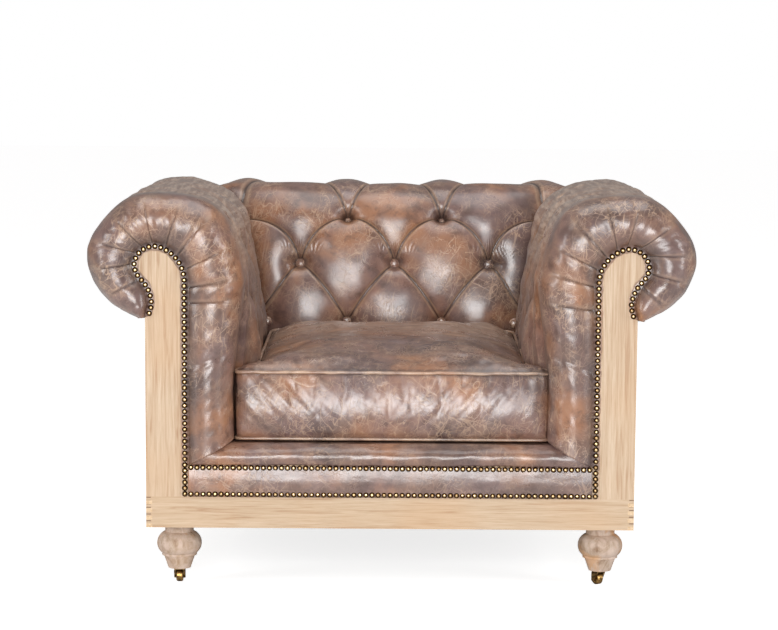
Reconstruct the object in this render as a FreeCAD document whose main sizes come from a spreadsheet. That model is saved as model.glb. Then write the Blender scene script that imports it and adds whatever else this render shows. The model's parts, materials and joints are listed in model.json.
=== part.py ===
import FreeCAD, Part

import math
import os
from types import SimpleNamespace

import Sketcher
from FreeCAD import Placement, Rotation, Vector

# A deep-buttoned club armchair with an open oak front frame, as separate pieces in millimetres.
# The origin is on the floor under the middle of the overall box.
# +X is to the right seen from the front, +Y is to the back and +Z is up.

# Driving sizes, each written once. "Behind" is measured back from the oak's front face,
# "inside" is measured in from the frame's outer face, on the arms and the back alike.
DRIVING_SIZES = {
    "overall_depth": 950,
    "frame_width": 950,
    "roll_overhang": 115,
    "front_swell": 16,
    "roll_height": 768,
    "roll_radius": 118,
    "soft_gap": 0.3,
    "plinth_bottom": 120,
    "plinth_height": 61,
    "plinth_board": 25,
    "skirt_board": 12,
    "finger_count": 8,
    "rail_height": 64,
    "rail_board": 25,
    "panel_board": 8,
    "panel_top": 530,
    "strap_thick": 1.5,
    "strap_width": 50,
    "strap_count": 5,
    "corner_block_side": 90,
    "corner_block_height": 45,
    "post_board": 28,
    "post_width": 82,
    "hook_end": 531,
    "neck_height": 555,
    "neck_inset": 7,
    "neck_radius": 63,
    "cheek_height": 601,
    "cheek_reach": 12,
    "cheek_radius": 50,
    "head_side_height": 633,
    "head_reach": 26,
    "head_outer_radius": 45.2,
    "head_height": 674,
    "head_top_inset": 25,
    "head_inner_radius": 74,
    "shoulder_height": 600,
    "shelf_bottom": 600,
    "shelf_board": 20,
    "core_width": 66,
    "core_inset": 10,
    "core_top": 655,
    "lining_inside": 143,
    "back_post_side": 50,
    "seat_height": 283,
    "collar_depth": 99,
    "collar_flare": 20,
    "collar_clearance": 1,
    "collar_turn": 45,
    "collar_crest": 0.42,
    "leather": 2,
    "leather_lap": 14,
    "lip_bulge": 10,
    "lip_nose": 21,
    "lip_miter_inside": 167,
    "lip_miter_height": 290,
    "band_top": 243,
    "band_swell": 4,
    "nail_radius": 5.5,
    "nail_height": 3.6,
    "nail_pitch": 11.6,
    "nail_inset": 6,
    "nail_top_inset": 4,
    "pad_inside_seat": 188,
    "pad_inside_low": 190,
    "pad_inside_middle": 175,
    "pad_inside_high": 145,
    "button_row_low": 460,
    "button_row_middle": 593,
    "button_row_high": 697,
    "fold_width": 8,
    "tuft_rise": 27,
    "roll_swell": 25,
    "roll_tail": 27,
    "back_half_pitch": 102,
    "button_radius": 11,
    "button_height": 7,
    "button_sink": 12,
    "pleat_count": 10,
    "pleat_depth": 5,
    "cushion_front_behind": 45,
    "cushion_rear_behind": 596,
    "cushion_ear_half": 300,
    "cushion_half": 254,
    "cushion_ear_depth": 58,
    "cushion_front_top": 421,
    "cushion_rear_top": 446,
    "cushion_crown": 34,
    "cushion_side_swell": 5,
    "piping_radius": 3,
    "leg_inset": 60,
    "foot_height": 30,
    "foot_radius": 22,
    "taper_top": 56,
    "taper_radius": 31,
    "ring_radius": 34.4,
    "ring_height": 4,
    "bun_top": 103,
    "bun_radius": 25,
    "neck_half_width": 28.3,
    "tenon_radius": 12,
    "socket_flange": 2,
    "socket_radius": 15,
    "stem_radius": 3,
    "stem_length": 26,
    "running_gap": 0.05,
    "wheel_radius": 12.5,
    "wheel_width": 13,
    "wheel_side_gap": 0.5,
    "fork_cheek": 4,
    "fork_eye_radius": 5,
    "caster_trail": 7,
    "axle_radius": 2,
    "swivel_front_right": 35,
    "swivel_rear_left": -25,
    "swivel_rear_right": 15,
}

os.makedirs("parts", exist_ok=True)
doc = FreeCAD.newDocument("Armchair")
sheet = doc.addObject("Spreadsheet::Sheet", "Sizes")


def formula(left, sign, right, value):
    """A size worked out from two others, with the expression that says so."""
    texts = [side.text if isinstance(side, Size) else "%.9g" % side for side in (left, right)]
    return Size(value, "(%s %s %s)" % (texts[0], sign, texts[1]))


class Size(float):
    """A length that remembers how the sheet works it out, so that an object can be bound to it."""

    def __new__(cls, value, text=None):
        size = float.__new__(cls, value)
        size.text = text or "%.9g" % value
        return size

    def __add__(self, other):
        return formula(self, "+", other, float(self) + float(other))

    def __radd__(self, other):
        return formula(other, "+", self, float(other) + float(self))

    def __sub__(self, other):
        return formula(self, "-", other, float(self) - float(other))

    def __rsub__(self, other):
        return formula(other, "-", self, float(other) - float(self))

    def __mul__(self, other):
        return formula(self, "*", other, float(self) * float(other))

    def __rmul__(self, other):
        return formula(other, "*", self, float(other) * float(self))

    def __truediv__(self, other):
        return formula(self, "/", other, float(self) / float(other))

    def __neg__(self):
        return formula(0, "-", self, -float(self))


def fill_sheet():
    """Write the driving sizes to the sheet and hand them back under their names."""
    sizes = {}
    for row, (name, value) in enumerate(DRIVING_SIZES.items(), 1):
        sheet.set("A%d" % row, name)
        sheet.set("B%d" % row, str(value))
        sheet.setAlias("B%d" % row, name)
        sizes[name] = Size(value, "Sizes." + name)
    return SimpleNamespace(**sizes)


size = fill_sheet()
SIDES = {"left": -1, "right": 1}
nodes = {}

# Places worked out from the driving sizes.
front = -size.overall_depth / 2 + size.front_swell
rear = size.overall_depth / 2 - size.roll_overhang
half_frame = size.frame_width / 2
arm_shift = half_frame - rear
plinth_top = size.plinth_bottom + size.plinth_height
rail_top = plinth_top + size.rail_height
platform = rail_top + 2 * size.strap_thick + size.soft_gap
panel_inner = half_frame - size.panel_board
rear_panel_inner = rear - size.panel_board
rail_inner = panel_inner - size.rail_board
rear_rail_front = rear_panel_inner - size.rail_board
post_inner = half_frame - size.post_width
post_rear = front + size.post_board
lining_outer = rear - size.lining_inside
lining_back = lining_outer + size.panel_board
shelf_top = size.shelf_bottom + size.shelf_board
core_outer = rear + size.core_inset
core_inner = core_outer - size.core_width
collar_rear = front + size.collar_depth
deck_front = collar_rear
cushion_bottom = size.seat_height + size.piping_radius + size.soft_gap
roll_centre = rear + size.roll_overhang - size.roll_radius
roll_centre_height = size.roll_height - size.roll_radius
finger = size.plinth_height / size.finger_count
fork_width = size.wheel_width + 2 * size.wheel_side_gap + 2 * size.fork_cheek


def keep(node, piece):
    """Give a finished piece its node name."""
    piece.Label = node
    nodes[node] = piece
    return piece


def text_of(value):
    return value.text if isinstance(value, Size) else "%.9g" % value


def board(name, across, along, upright):
    """A square-edged board between two places on each of X, Y and Z."""
    box = doc.addObject("Part::Box", name)
    spans = zip(("Length", "Width", "Height"), "xyz", (across, along, upright))
    for measure, axis, (low, high) in spans:
        box.setExpression(measure, text_of(high - low))
        box.setExpression("Placement.Base." + axis, text_of(low))
    return box


def sided(sign, near, far):
    """The span of X between two distances from the middle, on one side of the chair."""
    return (near, far) if sign > 0 else (-far, -near)


def group(name, pieces):
    """Like pieces that share one node, still as separate solids."""
    compound = doc.addObject("Part::Compound", name)
    compound.Links = pieces
    return compound


def middle_of_arc(start, end, radius):
    """The middle of the shorter arc of this radius, to the right of start to end if it is positive."""
    chord = math.hypot(end[0] - start[0], end[1] - start[1])
    rise = abs(radius) - math.sqrt(max(float(radius) ** 2 - chord ** 2 / 4, 0))
    rise = math.copysign(rise, radius)
    return (
        (start[0] + end[0]) / 2 + rise * (end[1] - start[1]) / chord,
        (start[1] + end[1]) / 2 - rise * (end[0] - start[0]) / chord,
    )


def plane_edge(start, end, radius, place):
    """A straight edge, or an arc where a radius is given, with place turning two numbers into a point."""
    if not radius:
        return Part.LineSegment(place(*start), place(*end))
    return Part.Arc(place(*start), place(*middle_of_arc(start, end, radius)), place(*end))


def new_sketch(body, name, role, offset=0):
    """An empty sketch on one of its body's own origin planes, moved along the plane's normal."""
    sketch = body.newObject("Sketcher::SketchObject", name)
    plane = next(feature for feature in body.Origin.OriginFeatures if feature.Role == role)
    sketch.AttachmentSupport = [(plane, "")]
    sketch.MapMode = "FlatFace"
    sketch.setExpression("AttachmentOffset.Base.z", text_of(offset))
    return sketch


def pin_down(sketch, index, end, corner):
    """Hold one end of an edge at a corner, with both distances bound to the sheet."""
    for axis, line, value in (("X", -2, corner[0]), ("Y", -1, corner[1])):
        if abs(value) < 1e-9:
            sketch.addConstraint(Sketcher.Constraint("PointOnObject", index, end, line))
            continue
        rule = Sketcher.Constraint("Distance" + axis, -1, 1, index, end, float(value))
        sketch.setExpression("Constraints[%d]" % sketch.addConstraint(rule), text_of(value))


def draw(sketch, corners):
    """A closed outline. A corner may carry the radius of the arc that leaves it."""
    count = len(corners)
    first = sketch.GeometryCount
    for number, corner in enumerate(corners):
        start, end = corner[:2], corners[(number + 1) % count][:2]
        radius = corner[2] if len(corner) > 2 else 0
        clockwise = radius < 0
        run = (end, start, -radius) if clockwise else (start, end, radius)
        index = sketch.addGeometry(plane_edge(*run, lambda u, v: Vector(u, v, 0)), False)
        ends = (2, 1) if clockwise else (1, 2)
        pin_down(sketch, index, ends[0], start)
        if number:
            rule = Sketcher.Constraint("Coincident", index - 1, leaving, index, ends[0])
            sketch.addConstraint(rule)
        leaving = ends[1]
        if radius:
            rule = Sketcher.Constraint("Radius", index, float(run[2]))
            sketch.setExpression("Constraints[%d]" % sketch.addConstraint(rule), text_of(run[2]))
        first_end = first_end if number else ends[0]
    sketch.addConstraint(Sketcher.Constraint("Coincident", first + count - 1, leaving, first, first_end))
    return sketch


def rectangle(across, upright):
    """The corners of a rectangle between two spans."""
    left, right = across
    low, high = upright
    return [(left, low), (right, low), (right, high), (left, high)]


def pad(body, name, sketch, length, both_ways=False):
    feature = body.newObject("PartDesign::Pad", name)
    feature.Profile = sketch
    feature.Midplane = both_ways
    feature.setExpression("Length", text_of(length))
    return feature


def cut_through(body, name, sketch):
    """A pocket that runs right through, whichever way its sketch faces."""
    feature = body.newObject("PartDesign::Pocket", name)
    feature.Profile = sketch
    feature.Type = "ThroughAll"
    feature.Midplane = True
    return feature


def turn(body, name, sketch, axis="V_Axis"):
    feature = body.newObject("PartDesign::Revolution", name)
    feature.Profile = sketch
    feature.ReferenceAxis = (sketch, [axis])
    feature.Angle = 360
    return feature


def place_body(body, x, y, z=0, swivel=0):
    """Stand a body somewhere, turned about the upright axis."""
    body.Placement = Placement(Vector(0, 0, 0), Rotation(Vector(0, 0, 1), float(swivel)))
    for axis, value in zip("xyz", (x, y, z)):
        body.setExpression("Placement.Base." + axis, text_of(value))


# The plinth: four boards, finger-jointed at the corners.

def comb(body, sketch_name, role, ends, first_finger):
    """Cut every second finger out of both ends of a plinth board."""
    notch = new_sketch(body, sketch_name, role)
    bottom = size.plinth_bottom + first_finger * finger
    for near, far in ends:
        draw(notch, rectangle((near, far), (bottom, bottom + finger)))
    pocket = cut_through(body, sketch_name + "Notch", notch)
    pattern = body.newObject("PartDesign::LinearPattern", sketch_name + "Pattern")
    pattern.Originals = [pocket]
    pattern.Direction = (notch, ["V_Axis"])
    pattern.setExpression("Length", text_of(size.plinth_height - 2 * finger))
    pattern.setExpression("Occurrences", text_of(size.finger_count / 2))
    body.Tip = pattern


def cross_plinth(node, rear_face):
    """A plinth board across the front or the back."""
    body = doc.addObject("PartDesign::Body", node)
    outline = rectangle((-half_frame, half_frame), (size.plinth_bottom, plinth_top))
    face = draw(new_sketch(body, node + "_face", "XZ_Plane", -rear_face), outline)
    pad(body, node + "_board", face, size.plinth_board)
    inner = half_frame - size.skirt_board
    comb(body, node + "_fingers", "XZ_Plane", [(-half_frame, -inner), (inner, half_frame)], 0)
    return keep(node, body)


def side_plinth(node, sign):
    """A thin plinth board along one side."""
    body = doc.addObject("PartDesign::Body", node)
    near = sided(sign, half_frame - size.skirt_board, half_frame)[0]
    upright = (size.plinth_bottom, plinth_top)
    face = draw(new_sketch(body, node + "_face", "YZ_Plane", near), rectangle((front, rear), upright))
    pad(body, node + "_board", face, size.skirt_board)
    ends = [(front, front + size.plinth_board), (rear - size.plinth_board, rear)]
    comb(body, node + "_fingers", "YZ_Plane", ends, 1)
    return keep(node, body)


# The oak front posts: a straight stile that ends in a hooked head.

def post_corners(sign, gap=0):
    """The hook outline from its outer foot round the head to its inner foot, grown by a gap."""
    outline = [
        (half_frame + gap, size.hook_end),
        (half_frame - size.neck_inset + gap, size.neck_height, size.neck_radius - gap),
        (half_frame + size.cheek_reach + gap, size.cheek_height, -(size.cheek_radius + gap)),
        (half_frame + size.head_reach + gap, size.head_side_height, -(size.head_outer_radius + gap)),
        (half_frame - size.head_top_inset, size.head_height + gap, -(size.head_inner_radius + gap)),
        (post_inner - gap, size.shoulder_height),
    ]
    mirrored = []
    for corner in outline:
        bend = [corner[2] * -sign] if len(corner) > 2 else []
        mirrored.append((corner[0] * sign, corner[1], *bend))
    return mirrored


def front_post(node, sign):
    body = doc.addObject("PartDesign::Body", node)
    foot = [(half_frame * sign, plinth_top)]
    heel = [(post_inner * sign, plinth_top)]
    sketch = new_sketch(body, node + "_outline", "XZ_Plane", -post_rear)
    draw(sketch, foot + post_corners(sign) + heel)
    pad(body, node + "_board", sketch, size.post_board)
    return keep(node, body)


# The legs and what joins them to the frame.

leg_places = {
    "front_left": (-(half_frame - size.leg_inset), front + size.leg_inset),
    "front_right": (half_frame - size.leg_inset, front + size.leg_inset),
    "rear_left": (-(half_frame - size.leg_inset), rear - size.leg_inset),
    "rear_right": (half_frame - size.leg_inset, rear - size.leg_inset),
}


def turned_leg(corner):
    """A bun leg with a tapered foot, a round tenon on top and a bore for its caster's stem."""
    body = doc.addObject("PartDesign::Body", corner + "_leg")
    bore = size.stem_radius + size.running_gap
    bore_top = size.foot_height + size.stem_length
    ring_top = size.taper_top + size.ring_height
    tenon_top = size.plinth_bottom + size.corner_block_height
    profile = [
        (bore, size.foot_height),
        (size.foot_radius, size.foot_height),
        (size.taper_radius, size.taper_top),
        (size.ring_radius, size.taper_top),
        (size.ring_radius, ring_top, size.bun_radius),
        (size.neck_half_width, size.bun_top),
        (size.neck_half_width, size.plinth_bottom),
        (size.tenon_radius, size.plinth_bottom),
        (size.tenon_radius, tenon_top),
        (0, tenon_top),
        (0, bore_top),
        (bore, bore_top),
    ]
    turn(body, corner + "_leg_turning", draw(new_sketch(body, corner + "_leg_profile", "XZ_Plane"), profile))
    place_body(body, *leg_places[corner])
    return body


def corner_block(corner):
    """A glue block inside the plinth, bored right through for the leg's tenon."""
    end, side = corner.split("_")
    inner_skirt = half_frame - size.skirt_board
    across = sided(SIDES[side], inner_skirt - size.corner_block_side, inner_skirt)
    along = (front + size.plinth_board, front + size.plinth_board + size.corner_block_side)
    if end == "rear":
        along = (rear - size.plinth_board - size.corner_block_side, rear - size.plinth_board)
    upright = (size.plinth_bottom, size.plinth_bottom + size.corner_block_height)
    bore = doc.addObject("Part::Cylinder", corner + "_block_bore")
    bore.setExpression("Radius", text_of(size.tenon_radius))
    bore.setExpression("Height", text_of(size.corner_block_height))
    for axis, value in zip("xyz", (*leg_places[corner], size.plinth_bottom)):
        bore.setExpression("Placement.Base." + axis, text_of(value))
    bored = doc.addObject("Part::Cut", corner + "_block")
    bored.Base = board(corner + "_block_blank", across, along, upright)
    bored.Tool = bore
    return bored


# The casters: a plate on the leg, and a fork and a wheel that move.

def caster_plate(corner):
    """The brass ring that the fork's shoulder turns under."""
    body = doc.addObject("PartDesign::Body", corner + "_plate")
    upright = (size.foot_height - size.socket_flange, size.foot_height)
    ring = rectangle((size.stem_radius + size.running_gap, size.socket_radius), upright)
    turn(body, corner + "_plate_turning", draw(new_sketch(body, corner + "_plate_profile", "XZ_Plane"), ring))
    place_body(body, *leg_places[corner])
    return body


def caster_fork(corner, swivel):
    """A round-shouldered strap over the wheel, its stem on top and its axle riveted between the cheeks."""
    node = "caster_fork_" + corner
    body = doc.addObject("PartDesign::Body", node)
    top = size.foot_height - size.socket_flange - size.soft_gap
    slot_top = 2 * size.wheel_radius + size.wheel_side_gap
    eye = size.fork_eye_radius
    half = fork_width / 2
    low = size.wheel_radius - eye
    gap = size.wheel_width / 2 + size.wheel_side_gap
    strap = [
        (-half, low),
        (-gap, low),
        (-gap, slot_top),
        (gap, slot_top),
        (gap, low),
        (half, low),
        (half, top - eye, eye),
        (half - eye, top),
        (eye - half, top, eye),
        (-half, top - eye),
    ]
    outline = draw(new_sketch(body, node + "_strap_outline", "XZ_Plane", -(size.caster_trail + eye)), strap)
    pad(body, node + "_strap", outline, size.caster_trail + 2 * eye)
    toe = new_sketch(body, node + "_toe_outline", "YZ_Plane")
    toe_end = size.caster_trail - eye / 2
    draw(toe, [(-eye, 0), (toe_end, 0), (toe_end, low), (-eye, slot_top)])
    cut_through(body, node + "_toe", toe)
    axle = new_sketch(body, node + "_axle_outline", "YZ_Plane")
    pin = Part.Circle(Vector(size.caster_trail, size.wheel_radius, 0), Vector(0, 0, 1), size.axle_radius)
    circle = axle.addGeometry(pin, False)
    pin_down(axle, circle, 3, (size.caster_trail, size.wheel_radius))
    rule = axle.addConstraint(Sketcher.Constraint("Radius", circle, float(size.axle_radius)))
    axle.setExpression("Constraints[%d]" % rule, text_of(size.axle_radius))
    pad(body, node + "_axle", axle, 2 * gap + size.fork_cheek, both_ways=True)
    stem_top = size.foot_height + size.stem_length - size.wheel_side_gap
    stem = rectangle((0, size.stem_radius), (slot_top, stem_top))
    turn(body, node + "_stem", draw(new_sketch(body, node + "_stem_profile", "XZ_Plane"), stem))
    place_body(body, *leg_places[corner], swivel=swivel)
    return keep(node, body)


def caster_wheel(corner, swivel):
    """A solid wheel with its tread edges eased."""
    node = "caster_wheel_" + corner
    body = doc.addObject("PartDesign::Body", node)
    half = size.wheel_width / 2
    bore = size.axle_radius + size.running_gap
    easing = size.wheel_width / 6
    profile = [
        (-half, bore),
        (-half, size.wheel_radius - easing),
        (easing - half, size.wheel_radius),
        (half - easing, size.wheel_radius),
        (half, size.wheel_radius - easing),
        (half, bore),
    ]
    turn(body, node + "_turning", draw(new_sketch(body, node + "_profile", "XY_Plane"), profile), "H_Axis")
    x, y = leg_places[corner]
    angle = math.radians(swivel)
    trail = size.caster_trail
    place_body(body, x - trail * math.sin(angle), y + trail * math.cos(angle), size.wheel_radius, swivel)
    return keep(node, body)


# Soft pieces: ruled lofts through closed wires, in one function for the arms and the back.

def whole_solid(shape):
    """The same solid with its inside within."""
    if shape.Volume < 0:
        shape.reverse()
    return shape


def solid_loft(wires):
    """A closed solid through wires that have equally many edges."""
    return whole_solid(Part.makeLoft(wires, True, True))


def soft_piece(node, shape):
    """A piece whose shape is worked out here, from the sheet's sizes."""
    feature = doc.addObject("Part::Feature", node)
    feature.Shape = shape
    feature.Placement = Placement()
    return keep(node, feature)


def joined(points, middles):
    """A closed wire. Where an edge has a middle it is an arc, else it is straight."""
    edges = []
    for number, point in enumerate(points):
        after = points[(number + 1) % len(points)]
        middle = middles.get(number)
        edge = Part.Arc(point, middle, after) if middle else Part.LineSegment(point, after)
        edges.append(edge.toShape())
    return Part.Wire(edges)


def cell_edges(centres, parity, narrow):
    """Where one tuft ends and the next begins. Every second tuft is narrow, or none is."""
    borders = []
    for number in range(len(centres) - 1):
        here, after = centres[number], centres[number + 1]
        step = math.copysign(narrow / 2, after - here)
        if parity is None:
            borders.append((here + after) / 2)
        elif number % 2 == parity:
            borders.append(here + step)
        else:
            borders.append(after - step)
    return borders


def tuft_wire(face, core, tufting, centres, ends, place, corner_dip=0):
    """One wire of a buttoned pad, from the fold line of its face back to its core.

    The tufts swell as arcs between the fold lines. A narrow tuft is the flat under a button.
    A corner dip lowers the first end, where an arm meets the back in a crease.
    """
    parity, narrow, sink, rise, most = tufting
    run, climb = face[0] - core[0], face[1] - core[1]
    length = math.hypot(run, climb)

    def at(place_along, out):
        return place_along, face[0] + run / length * out, face[1] + climb / length * out

    borders = cell_edges(centres, parity, narrow)
    depth = -sink if parity is not None else 0
    tufts = len(centres)
    narrow_first = parity == 0
    marks = [-sink if narrow_first else 0] + [depth] * len(borders) + [-sink if narrow_first else 0]
    marks[0] -= corner_dip
    outs = [at(0, out) for out in marks]
    along = [ends[0](outs[0][1])] + borders + [ends[1](outs[-1][1])]
    chain = [(here, out[1], out[2]) for here, out in zip(along, outs)]
    points = [place(*point) for point in chain]
    middles = {}
    for number in range(tufts):
        flat = parity is not None and number % 2 == parity
        width = abs(along[number + 1] - along[number])
        swell = min(rise * width, most) + (corner_dip / 4 if number == 0 else 0)
        if flat or swell < 0.5:
            continue
        out = (marks[number] + marks[number + 1]) / 2 + swell
        middles[number] = place(*at((along[number] + along[number + 1]) / 2, out))
    points.append(place(ends[1](core[0]), *core))
    points.append(place(ends[0](core[0]), *core))
    return joined(points, middles)


def roll_point(degrees, swell=0):
    """A point on the roll's round outside, as inside-out distance and height."""
    radius = size.roll_radius - swell
    angle = math.radians(degrees)
    return roll_centre + radius * math.cos(angle), roll_centre_height + radius * math.sin(angle)


def between(low, high, share=0.5):
    return tuple(a + (b - a) * share for a, b in zip(low, high))


def pad_rows():
    """The fold line of each button row, as distance from the middle and height."""
    return SimpleNamespace(
        seat=(rear - size.pad_inside_seat, size.seat_height + size.soft_gap),
        low=(rear - size.pad_inside_low, size.button_row_low),
        middle=(rear - size.pad_inside_middle, size.button_row_middle),
        high=(rear - size.pad_inside_high, size.button_row_high),
    )


def core_rows():
    """Where the pad meets the frame behind each row."""
    gap = size.soft_gap
    lining = lining_outer - gap
    return SimpleNamespace(
        seat=(lining, size.seat_height + gap),
        low=(lining, size.button_row_low),
        middle=(lining, size.button_row_middle),
        shelf=(lining, shelf_top + gap),
        high=(core_inner - gap, size.core_top + gap),
        top=((core_inner + core_outer) / 2, size.core_top + gap),
        outer=(core_outer + gap, size.core_top + gap),
        side=(core_outer + gap, roll_centre_height),
        under=(core_outer + gap, size.shelf_bottom - gap),
        tail=(rear + gap, size.panel_top + size.roll_tail),
    )


def tuftings():
    """How each kind of row is tufted: which tufts are narrow, how wide, how deep, rise and most rise."""
    button = 2 * size.button_radius
    sink = size.button_sink
    deep = size.tuft_rise + sink
    return SimpleNamespace(
        seat=(0, size.fold_width, 0, 0.12, size.tuft_rise * 0.8),
        even=(0, button, sink, 0.22, deep),
        odd=(1, button, sink, 0.22, deep),
        halfway=(None, 0, 0, 0.18, size.tuft_rise),
        roll=(1, size.fold_width, 0, 0.16, size.roll_swell),
        tail=(1, size.fold_width, 0, 0.03, size.roll_swell),
        smooth=(None, 0, 0, 0, 0),
    )


def back_pad():
    """The buttoned back: three rows of diamonds, pleated down to the seat and over the roll."""
    rows, core, tufting = pad_rows(), core_rows(), tuftings()
    half_pitch = size.back_half_pitch
    swell = size.roll_swell
    ends = (
        lambda v: -(v + arm_shift - size.soft_gap),
        lambda v: v + arm_shift - size.soft_gap,
    )

    def wire(face, back, kind):
        corner = face[0] + arm_shift
        centres = [-corner, -2 * half_pitch, -half_pitch, 0, half_pitch, 2 * half_pitch, corner]
        return tuft_wire(face, back, kind, centres, ends, Vector)

    wires = [
        wire(rows.seat, core.seat, tufting.seat),
        wire(rows.low, core.low, tufting.even),
        wire(between(rows.low, rows.middle), between(core.low, core.middle), tufting.halfway),
        wire(rows.middle, core.middle, tufting.odd),
        wire(between(rows.middle, rows.high), core.shelf, tufting.halfway),
        wire(rows.high, core.high, tufting.even),
        wire(roll_point(120, swell), between(core.high, core.top), tufting.halfway),
        wire(roll_point(90, swell), core.top, tufting.roll),
        wire(roll_point(60, swell), between(core.top, core.outer), tufting.roll),
        wire(roll_point(30, swell), core.outer, tufting.roll),
        wire(roll_point(0, swell), core.side, tufting.roll),
        wire(roll_point(-30, swell), core.under, tufting.roll),
        wire((rear + size.skirt_board, size.panel_top), core.tail, tufting.tail),
    ]
    return soft_piece("back_pad", solid_loft(wires))


def arm_columns():
    """Places of the arm's tufts along Y, from the back corner to the front pad."""
    corner = rear - size.pad_inside_low
    step = (corner - collar_rear) / 6
    return [corner - step * number for number in range(7)]


def arm_pad(node, sign):
    """A buttoned arm: diamonds on the inside and a smooth roll over the top."""
    rows, core, tufting = pad_rows(), core_rows(), tuftings()
    ends = (
        lambda v: v - size.soft_gap,
        lambda v: collar_rear + size.soft_gap,
    )

    def place(y, v, z):
        return Vector(sign * (v + arm_shift), y, z)

    def wire(face, back, kind):
        dip = size.roll_swell if kind is tufting.smooth else 0
        return tuft_wire(face, back, kind, [face[0]] + arm_columns()[1:], ends, place, dip)

    wires = [
        wire(rows.seat, core.seat, tufting.seat),
        wire(rows.low, core.low, tufting.even),
        wire(between(rows.low, rows.middle), between(core.low, core.middle), tufting.halfway),
        wire(rows.middle, core.middle, tufting.odd),
        wire(between(rows.middle, rows.high), core.shelf, tufting.halfway),
        wire(rows.high, core.high, tufting.even),
        wire(roll_point(120), between(core.high, core.top), tufting.smooth),
        wire(roll_point(90), core.top, tufting.smooth),
        wire(roll_point(60), between(core.top, core.outer), tufting.smooth),
        wire(roll_point(30), core.outer, tufting.smooth),
        wire(roll_point(0), core.side, tufting.smooth),
        wire(roll_point(-30), core.under, tufting.smooth),
        wire(roll_point(-60), between(core.under, core.tail), tufting.smooth),
        wire((rear + size.skirt_board, size.hook_end), core.tail, tufting.smooth),
    ]
    return soft_piece(node, solid_loft(wires))


# The arm's front pad: leather drawn round the post's edge and nailed to its face, in pleats.

def path_points(corners, count):
    """Evenly spaced points along an open path of lines and arcs in the XZ plane."""
    edges = []
    for here, after in zip(corners, corners[1:]):
        radius = here[2] if len(here) > 2 else 0
        edges.append(plane_edge(here[:2], after[:2], radius, lambda u, v: Vector(u, 0, v)).toShape())
    return Part.Wire(edges).discretize(Number=count)


def roll_to_width(degrees, inset):
    """A point of the roll as distance from the chair's middle and height."""
    v, z = roll_point(degrees, inset)
    return v + arm_shift, z


def collar_wire(inner, outer, flare=0, pleat=0, lap=size.leather_lap):
    """One wire of the front pad, in the plane through Y and the line from the post's edge outwards.

    It laps onto the post's face, swells ahead of it and ends in the roll's surface.
    """
    out = outer - inner
    reach = out.Length
    out.normalize()

    def at(distance, y):
        return Vector(inner.x + out.x * distance, y, inner.z + out.z * distance)

    lap = lap + size.collar_clearance
    skin = front - size.leather
    share = min(1, reach / size.collar_turn)
    crest = front - (size.front_swell - pleat) * share
    turned = front + size.collar_turn * share
    edge = reach - pleat * share
    middle = size.collar_crest * edge
    start = math.acos((turned - skin) / (turned - crest))
    points = [at(-lap, front), at(-lap, skin)]
    for angle in (-start, -start / 2, 0, math.pi / 6, math.pi / 3, math.pi / 2):
        half = middle / math.sin(start) if angle < 0 else edge - middle
        points.append(at(middle + half * math.sin(angle), turned - (turned - crest) * math.cos(angle)))
    points += [at(edge + flare, collar_rear), at(0, collar_rear), at(0, front)]
    return joined(points, {})


def arm_front_pad(node, sign):
    """Straight up the inside of the post, then fanned round its head in pleats."""
    clear = size.collar_clearance
    low_inner = Vector(sign * (post_inner - clear), 0, rail_top + size.soft_gap)
    low_outer = Vector(sign * (half_frame - size.lip_miter_inside), 0, size.lip_miter_height + size.soft_gap)
    shoulder = Vector(sign * (post_inner - clear), 0, size.shoulder_height)
    chest = Vector(sign * (half_frame - size.pad_inside_seat), 0, size.shoulder_height)
    cushion_side = Vector(low_outer.x, 0, size.cushion_front_top)
    rise = Vector(0, 0, size.leather_lap)
    flare = size.collar_flare
    stations = [
        (low_inner, low_outer, flare, 0, 0),
        (low_inner + rise, low_outer + rise, flare),
        (between_points(low_inner, shoulder, 0.35), cushion_side, flare),
        (between_points(low_inner, shoulder, 0.75), between_points(cushion_side, chest, 0.6)),
    ]
    steps = 2 * int(size.pleat_count) + 1
    inner_points = path_points(reverse_path(post_corners(sign, clear)), steps)
    outer_points = path_points(outer_path(sign), steps)
    for number in range(steps):
        pleat = size.pleat_depth if number % 2 and number < steps - 2 else 0
        stations.append((inner_points[number], outer_points[number], 0, pleat))
    wires = [collar_wire(*station) for station in stations]
    return soft_piece(node, solid_loft(wires))


def between_points(low, high, share):
    return low + (high - low) * share


def reverse_path(corners):
    """The same path walked the other way, with each radius moved to the arc's other end."""
    turned = []
    for number in range(len(corners) - 1, -1, -1):
        before = corners[number - 1] if number else ()
        bend = [-before[2]] if len(before) > 2 else []
        turned.append((*corners[number][:2], *bend))
    return turned


def outer_path(sign):
    """The roll's outline from the shoulder over the top and down to the post."""
    chest = half_frame - size.pad_inside_seat
    radius = size.roll_radius
    over = roll_to_width(90, 0)
    side = roll_to_width(0, 0)
    under = roll_to_width(-62, 0)
    shoulder_radius = 190
    path = [
        (chest, size.shoulder_height, shoulder_radius),
        (*over, radius),
        (*side, radius),
        (*under,),
        (half_frame + size.skirt_board, size.hook_end),
    ]
    return [(point[0] * sign, point[1], *[-bend * sign for bend in point[2:]]) for point in path]


# The seat: lip, leather band, deck and the loose cushion.

def lip_profile():
    """The padded front lip, as corners in the YZ plane."""
    skin = front - size.leather
    low = size.band_top + size.soft_gap
    seat = size.seat_height
    return [
        (front, low),
        (skin, low, -(size.lip_nose + size.lip_bulge)),
        (skin + size.lip_nose, seat),
        (deck_front - size.soft_gap, seat),
        (deck_front - size.soft_gap, platform),
        (front, platform),
    ]


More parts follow.
